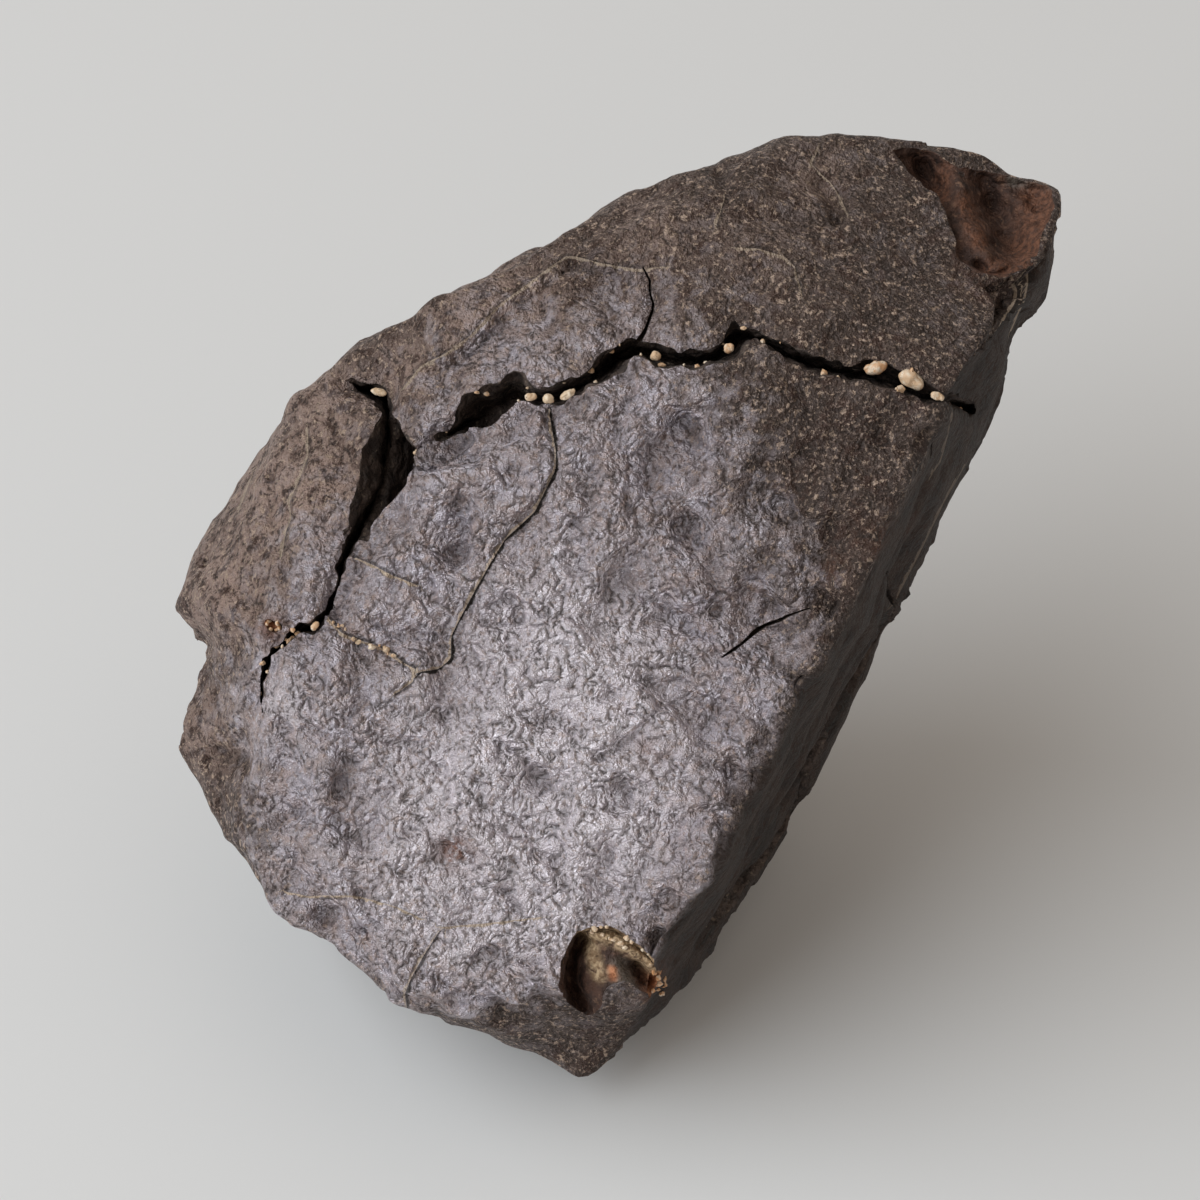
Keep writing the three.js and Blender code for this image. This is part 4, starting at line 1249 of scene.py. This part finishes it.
CRUST = make_crust("varnished crust")
SAND = make_sand()
CRACK_WALL = make_broken(
    "crack wall", (0.035, 0.024, 0.02), (0.08, 0.055, 0.045), (0.17, 0.13, 0.1),
)
RUSTY_BREAK = make_broken(
    "rusty break", (0.04, 0.018, 0.012), (0.085, 0.04, 0.026), (0.15, 0.08, 0.05), STAIN_SHADES,
)

# ---- The stone --------------------------------------------------------------------------------

WIDE_CRACKS = ("main_crack", "left_slot")
FINE_CRACKS = ("side_fissure", "back_crack", "step_crack", "block_crack")
CRACK_OPENINGS = ("slot", "pocket")
BREAKS = ("low_pocket", "low_corner", "corner", "rust_pit")


def edge_wear(points):
    """How far the block's edges are worn back near each point."""
    softness = np.full(len(points), EDGE_SOFTNESS)
    softness = softness + BACK_SOFTNESS * smooth_step(-points[:, 2], 2, 8)
    for route in CRISP_EDGES:
        away, _, _ = to_route(points, "face", route)
        crisp = front(points, "face") * smooth_step(-np.abs(away), -5, -2)
        softness += crisp * (CRISP_SOFTNESS - softness)
    return softness


def draw_onto_flats(piece):
    points = points_of(piece)
    move_points(piece, onto_flats(points, edge_wear(points)))


def break_open(piece, height_at):
    """Cuts the cracks, the broken places and the chips."""
    blades = [crack_blade(name, height_at, BLADE_STEP) for name in WIDE_CRACKS]
    plugs = [opening_cutter(name) for name in CRACK_OPENINGS]
    cut_away(piece, fused_cutter(blades + plugs, "cracks", CUT_CELL, CUT_RAG), CRACK_WALL)
    plugs = [opening_cutter(name) for name in BREAKS]
    cut_away(piece, fused_cutter(plugs, "breaks", CUT_CELL, BREAK_RAG, BREAKS), RUSTY_BREAK)
    chips = [chip_cutter(outline) for outline in CHIPS]
    cut_away(piece, fused_cutter(chips, "chips", CHIP_CELL, CHIP_RAG), CRUST)
    for name in FINE_CRACKS:
        blade = crack_blade(name, height_at, FINE_BLADE_STEP)
        outward(blade)
        cut_away(piece, blade, CRACK_WALL)
    keep_largest(piece)


def store_crust(piece, points):
    """Where the crust is varnished (painted paler as glare past 1), dusty, smooth and painted as
    shade on the right side, painted darker as shade in its hollows, and rusty.
    """
    upper = region(points, "upper_block", "upper_block_right")
    varnish = region(points, *FACE_FLATS) + 0.12 * upper + 0.15 * region(points, "left_block")
    for x, y, radius, amount in VARNISH:
        varnish += front(points, "face") * amount * nearness(points, (x, y), radius)
    store(piece, "varnish", varnish.clip(0, VARNISH_FULL_GLARE))
    dust = np.zeros(len(points))
    for x, y, radius, amount in DUST:
        dust = np.maximum(dust, amount * nearness(points, (x, y), radius))
    store(piece, "dust", dust)
    # The smooth right side: duller and calmer, and painted near-black as shade.
    store(piece, "shaded_satin", region(points, *SIDE_FLATS, softness=0.25))
    edges = edges_of(piece)
    smoothed = np.stack([spread(column, edges, CAVITY_ROUNDS) for column in points.T], axis=1)
    cavity = ((smoothed - points) * normals_of(piece)).sum(axis=1)
    store(piece, "cavity", (cavity / CAVITY_DEPTH).clip(-1, 1))
    rust = np.zeros(len(points))
    for x, y, z, radius, strength in RUST:
        rust = np.maximum(rust, strength * nearness(points, (x, y, z), radius))
    store(piece, "rust", rust)


def store_stains(piece, points):
    """Where the broken places are stained, a mask for every kind."""
    for stain, patches in STAINS.items():
        amount = np.zeros(len(points))
        for radius, route in patches:
            away, _, _ = to_route(points, "face", route)
            spot = front(points, "face") * np.exp(-((away / radius) ** 4))
            amount = np.maximum(amount, spot)
        store(piece, stain, amount)


def store_veins(piece, points):
    """The distance from the nearest vein, the strength of its pale line, and of the painted shadow
    line beside it.
    """
    distance = np.full(len(points), NO_VEIN)
    pale = np.zeros(len(points))
    dark = np.zeros(len(points))
    for pale_strength, shadow_strength, route in VEINS:
        away, _, _ = to_route(points, "face", route)
        near = (np.abs(away) < np.abs(distance)) & (points[:, 2] > 0)
        distance = np.where(near, away, distance)
        close = near * smooth_step(-np.abs(away), -0.9, -0.5)
        pale = np.where(near, pale_strength * close, pale)
        dark = np.where(near, shadow_strength * close, dark)
    store(piece, "vein_distance", distance)
    store(piece, "vein_pale", pale)
    store(piece, "vein_shadow_strength", dark)


def smooth_shaded(piece):
    select_only(piece)
    bpy.ops.object.shade_smooth()


stone = split_block()
draw_onto_flats(stone)
refine_front(stone)
draw_onto_flats(stone)
swell_like_packed_stone(stone)
carve(stone)
pull(stone)
roughen(stone)
stone.data.materials.append(CRUST)
height_at = surface_finder(stone)
break_open(stone, height_at)

points = points_of(stone)
store_crust(stone, points)
store_stains(stone, points)
store_veins(stone, points)

stone.data.transform(STAND)
points = points_of(stone)
points[:, 2] = np.maximum(points[:, 2], 0)
move_points(stone, points)
smooth_shaded(stone)
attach(stone, "root")
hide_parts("stone")

# ---- Sand grains and crumbs --------------------------------------------------------------------

GRAIN_TINTS = [0.2, 0.3, 0.1, 0.15, 0.35, 0.6, 0.8, 0.35, 0.3, 0.5]
SEED_STEP = 3.7        # between one grain's shape and the next
CRUMB_RISE = 0.3       # from the wall to a crumb's middle, in crumb radii
MOST_TINT_SHIFT = 0.25
CHANCE_SEED = 11

# Crumbs of sand that stick to the stone: how far off the route, how deep, how many, smallest
# and largest, tint, and route.
CRUMBS = [
    (0.5, 1.2, 34, 0.14, 0.34, 0.5, CRACKS["main_crack"][2]),
    (0.4, 1.0, 14, 0.14, 0.3, 0.6, CRACKS["left_slot"][2][10:]),
    (0.2, 0.1, 20, 0.1, 0.32, 0.3, [[-20.8, -1.6], [-19.0, -3.0], [-17.5, -3.4], [-16.0, -4.2],
                                     [-15.0, -4.9]]),
    (0.35, 0.6, 26, 0.12, 0.3, 0.2, [[-0.9, -25.7], [1.2, -26.1], [3.6, -27.9]]),
    (0.4, 0.9, 12, 0.15, 0.36, 1.0, [[4.4, -28.9], [4.9, -29.8], [4.3, -30.6]]),
    (0.4, 0.8, 8, 0.15, 0.3, 0.9, [[-26.0, -1.8], [-24.8, -2.4]]),
]


def pebble(piece, seed):
    """Chips a smooth grain into an angular one, in place."""
    points = points_of(piece) / MM
    middle = points.mean(axis=0)
    size = np.abs(points - middle).max()
    angular = 0.45 * facets(points - middle, size * 0.9, seed)
    gritty = 0.06 * noise_at(points - middle, size * 0.4, seed)
    offset = size * (angular + gritty)
    move_points(piece, (points + normals_of(piece) * offset[:, None]) * MM)


for number, tint in enumerate(GRAIN_TINTS, 1):
    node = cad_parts[f"sand_grain_{number}"]
    grain = bpy.data.objects.new(f"grain_{number}", node.data.copy())
    bpy.context.collection.objects.link(grain)
    in_edit_mode(grain, lambda: (
        bpy.ops.mesh.select_all(action="SELECT"), bpy.ops.mesh.remove_doubles(threshold=1e-7)
    ))
    apply_modifier(grain, "SUBSURF", levels=2, render_levels=2)
    pebble(grain, number * SEED_STEP)
    store(grain, "tint", np.full(len(grain.data.vertices), tint))
    grain.data.materials.clear()
    grain.data.materials.append(SAND)
    smooth_shaded(grain)
    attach(grain, "root")
    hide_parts(f"sand_grain_{number}")

chance = np.random.default_rng(CHANCE_SEED)
wall = BVHTree.FromPolygons(
    [tuple(LAY_DOWN @ v.co) for v in stone.data.vertices],
    [p.vertices[:] for p in stone.data.polygons],
)
crumbs = []
for off, depth, count, smallest, largest, tint, route in CRUMBS:
    rows = resample(np.array([row[:2] for row in route]), 0.2)
    for u, v in rows[chance.integers(len(rows), size=count)]:
        u, v = (u, v) + chance.uniform(-off, off, 2)
        level = height_at("face", u, v) - chance.uniform(0, depth)
        place, facing, _, _ = wall.find_nearest((u, v, level))
        size = chance.uniform(smallest, largest)
        bpy.ops.mesh.primitive_ico_sphere_add(subdivisions=1, radius=size)
        crumb = bpy.context.object
        points = points_of(crumb) * chance.uniform(0.45, 1.25, 3)
        points *= chance.uniform(0.75, 1.15, len(points))[:, None]
        move_points(crumb, points + np.array(place + CRUMB_RISE * size * facing))
        own_tint = tint + chance.uniform(-MOST_TINT_SHIFT, MOST_TINT_SHIFT)
        store(crumb, "tint", np.full(len(points), own_tint))
        crumbs.append(crumb)
crumbs = join(crumbs, "crumbs")
crumbs.data.transform(crumbs.matrix_world)
crumbs.matrix_world = Matrix()
crumbs.data.transform(STAND)
crumbs.data.materials.append(SAND)
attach(crumbs, "root")

# ---- Stage ------------------------------------------------------------------------------------

FLOOR_WIDTH = 6
FLOOR_COLOUR = (0.75, 0.755, 0.765, 1)
WINDOW_PLACE = (-0.74, -0.27, 0.65)
WINDOW_AIM = Vector((0, 0, 0.02))
WINDOW_COLOUR = (0.9, 0.96, 1.0)
WINDOW_WIDTH = 1.25
WINDOW_HEIGHT = 1.0
WINDOW_POWER = 11.3
ROOM_COLOUR = (1, 0.9, 0.79, 1)
ROOM_POWER = 0.4
CAMERA_ANGLE = math.radians(42)
CAMERA_DISTANCE = 0.45
PICTURE_WIDTH = 0.096     # what the camera takes in at the stone's distance
SENSOR_WIDTH = 36

bpy.ops.mesh.primitive_plane_add(size=FLOOR_WIDTH)
floor = bpy.context.object
floor.name = "floor"
paper, _, paper_skin = new_material("pale floor")
paper_skin.inputs["Base Color"].default_value = FLOOR_COLOUR
paper_skin.inputs["Roughness"].default_value = 0.7
floor.data.materials.append(paper)

bpy.ops.object.light_add(type="AREA", location=WINDOW_PLACE)
window = bpy.context.object
window.name = "window light"
window.data.shape = "RECTANGLE"
window.data.color = WINDOW_COLOUR
window.data.size = WINDOW_WIDTH
window.data.size_y = WINDOW_HEIGHT
window.data.energy = WINDOW_POWER
window.rotation_euler = (WINDOW_AIM - window.location).to_track_quat("-Z", "Y").to_euler()

world = bpy.data.worlds.new("room light")
bpy.context.scene.world = world
world.use_nodes = True
room = world.node_tree.nodes["Background"]
room.inputs["Color"].default_value = ROOM_COLOUR
room.inputs["Strength"].default_value = ROOM_POWER

bpy.ops.object.camera_add()
camera = bpy.context.object
camera.name = "camera"
camera.data.sensor_width = SENSOR_WIDTH
camera.data.lens = SENSOR_WIDTH * CAMERA_DISTANCE / PICTURE_WIDTH
camera.data.clip_start = 0.01
camera.location = (
    0,
    -math.cos(CAMERA_ANGLE) * CAMERA_DISTANCE,
    MIDDLE_HEIGHT * MM + math.sin(CAMERA_ANGLE) * CAMERA_DISTANCE,
)
camera.rotation_euler = (math.pi / 2 - CAMERA_ANGLE, 0, 0)
bpy.context.scene.camera = camera
bpy.context.scene.view_settings.view_transform = "Standard"
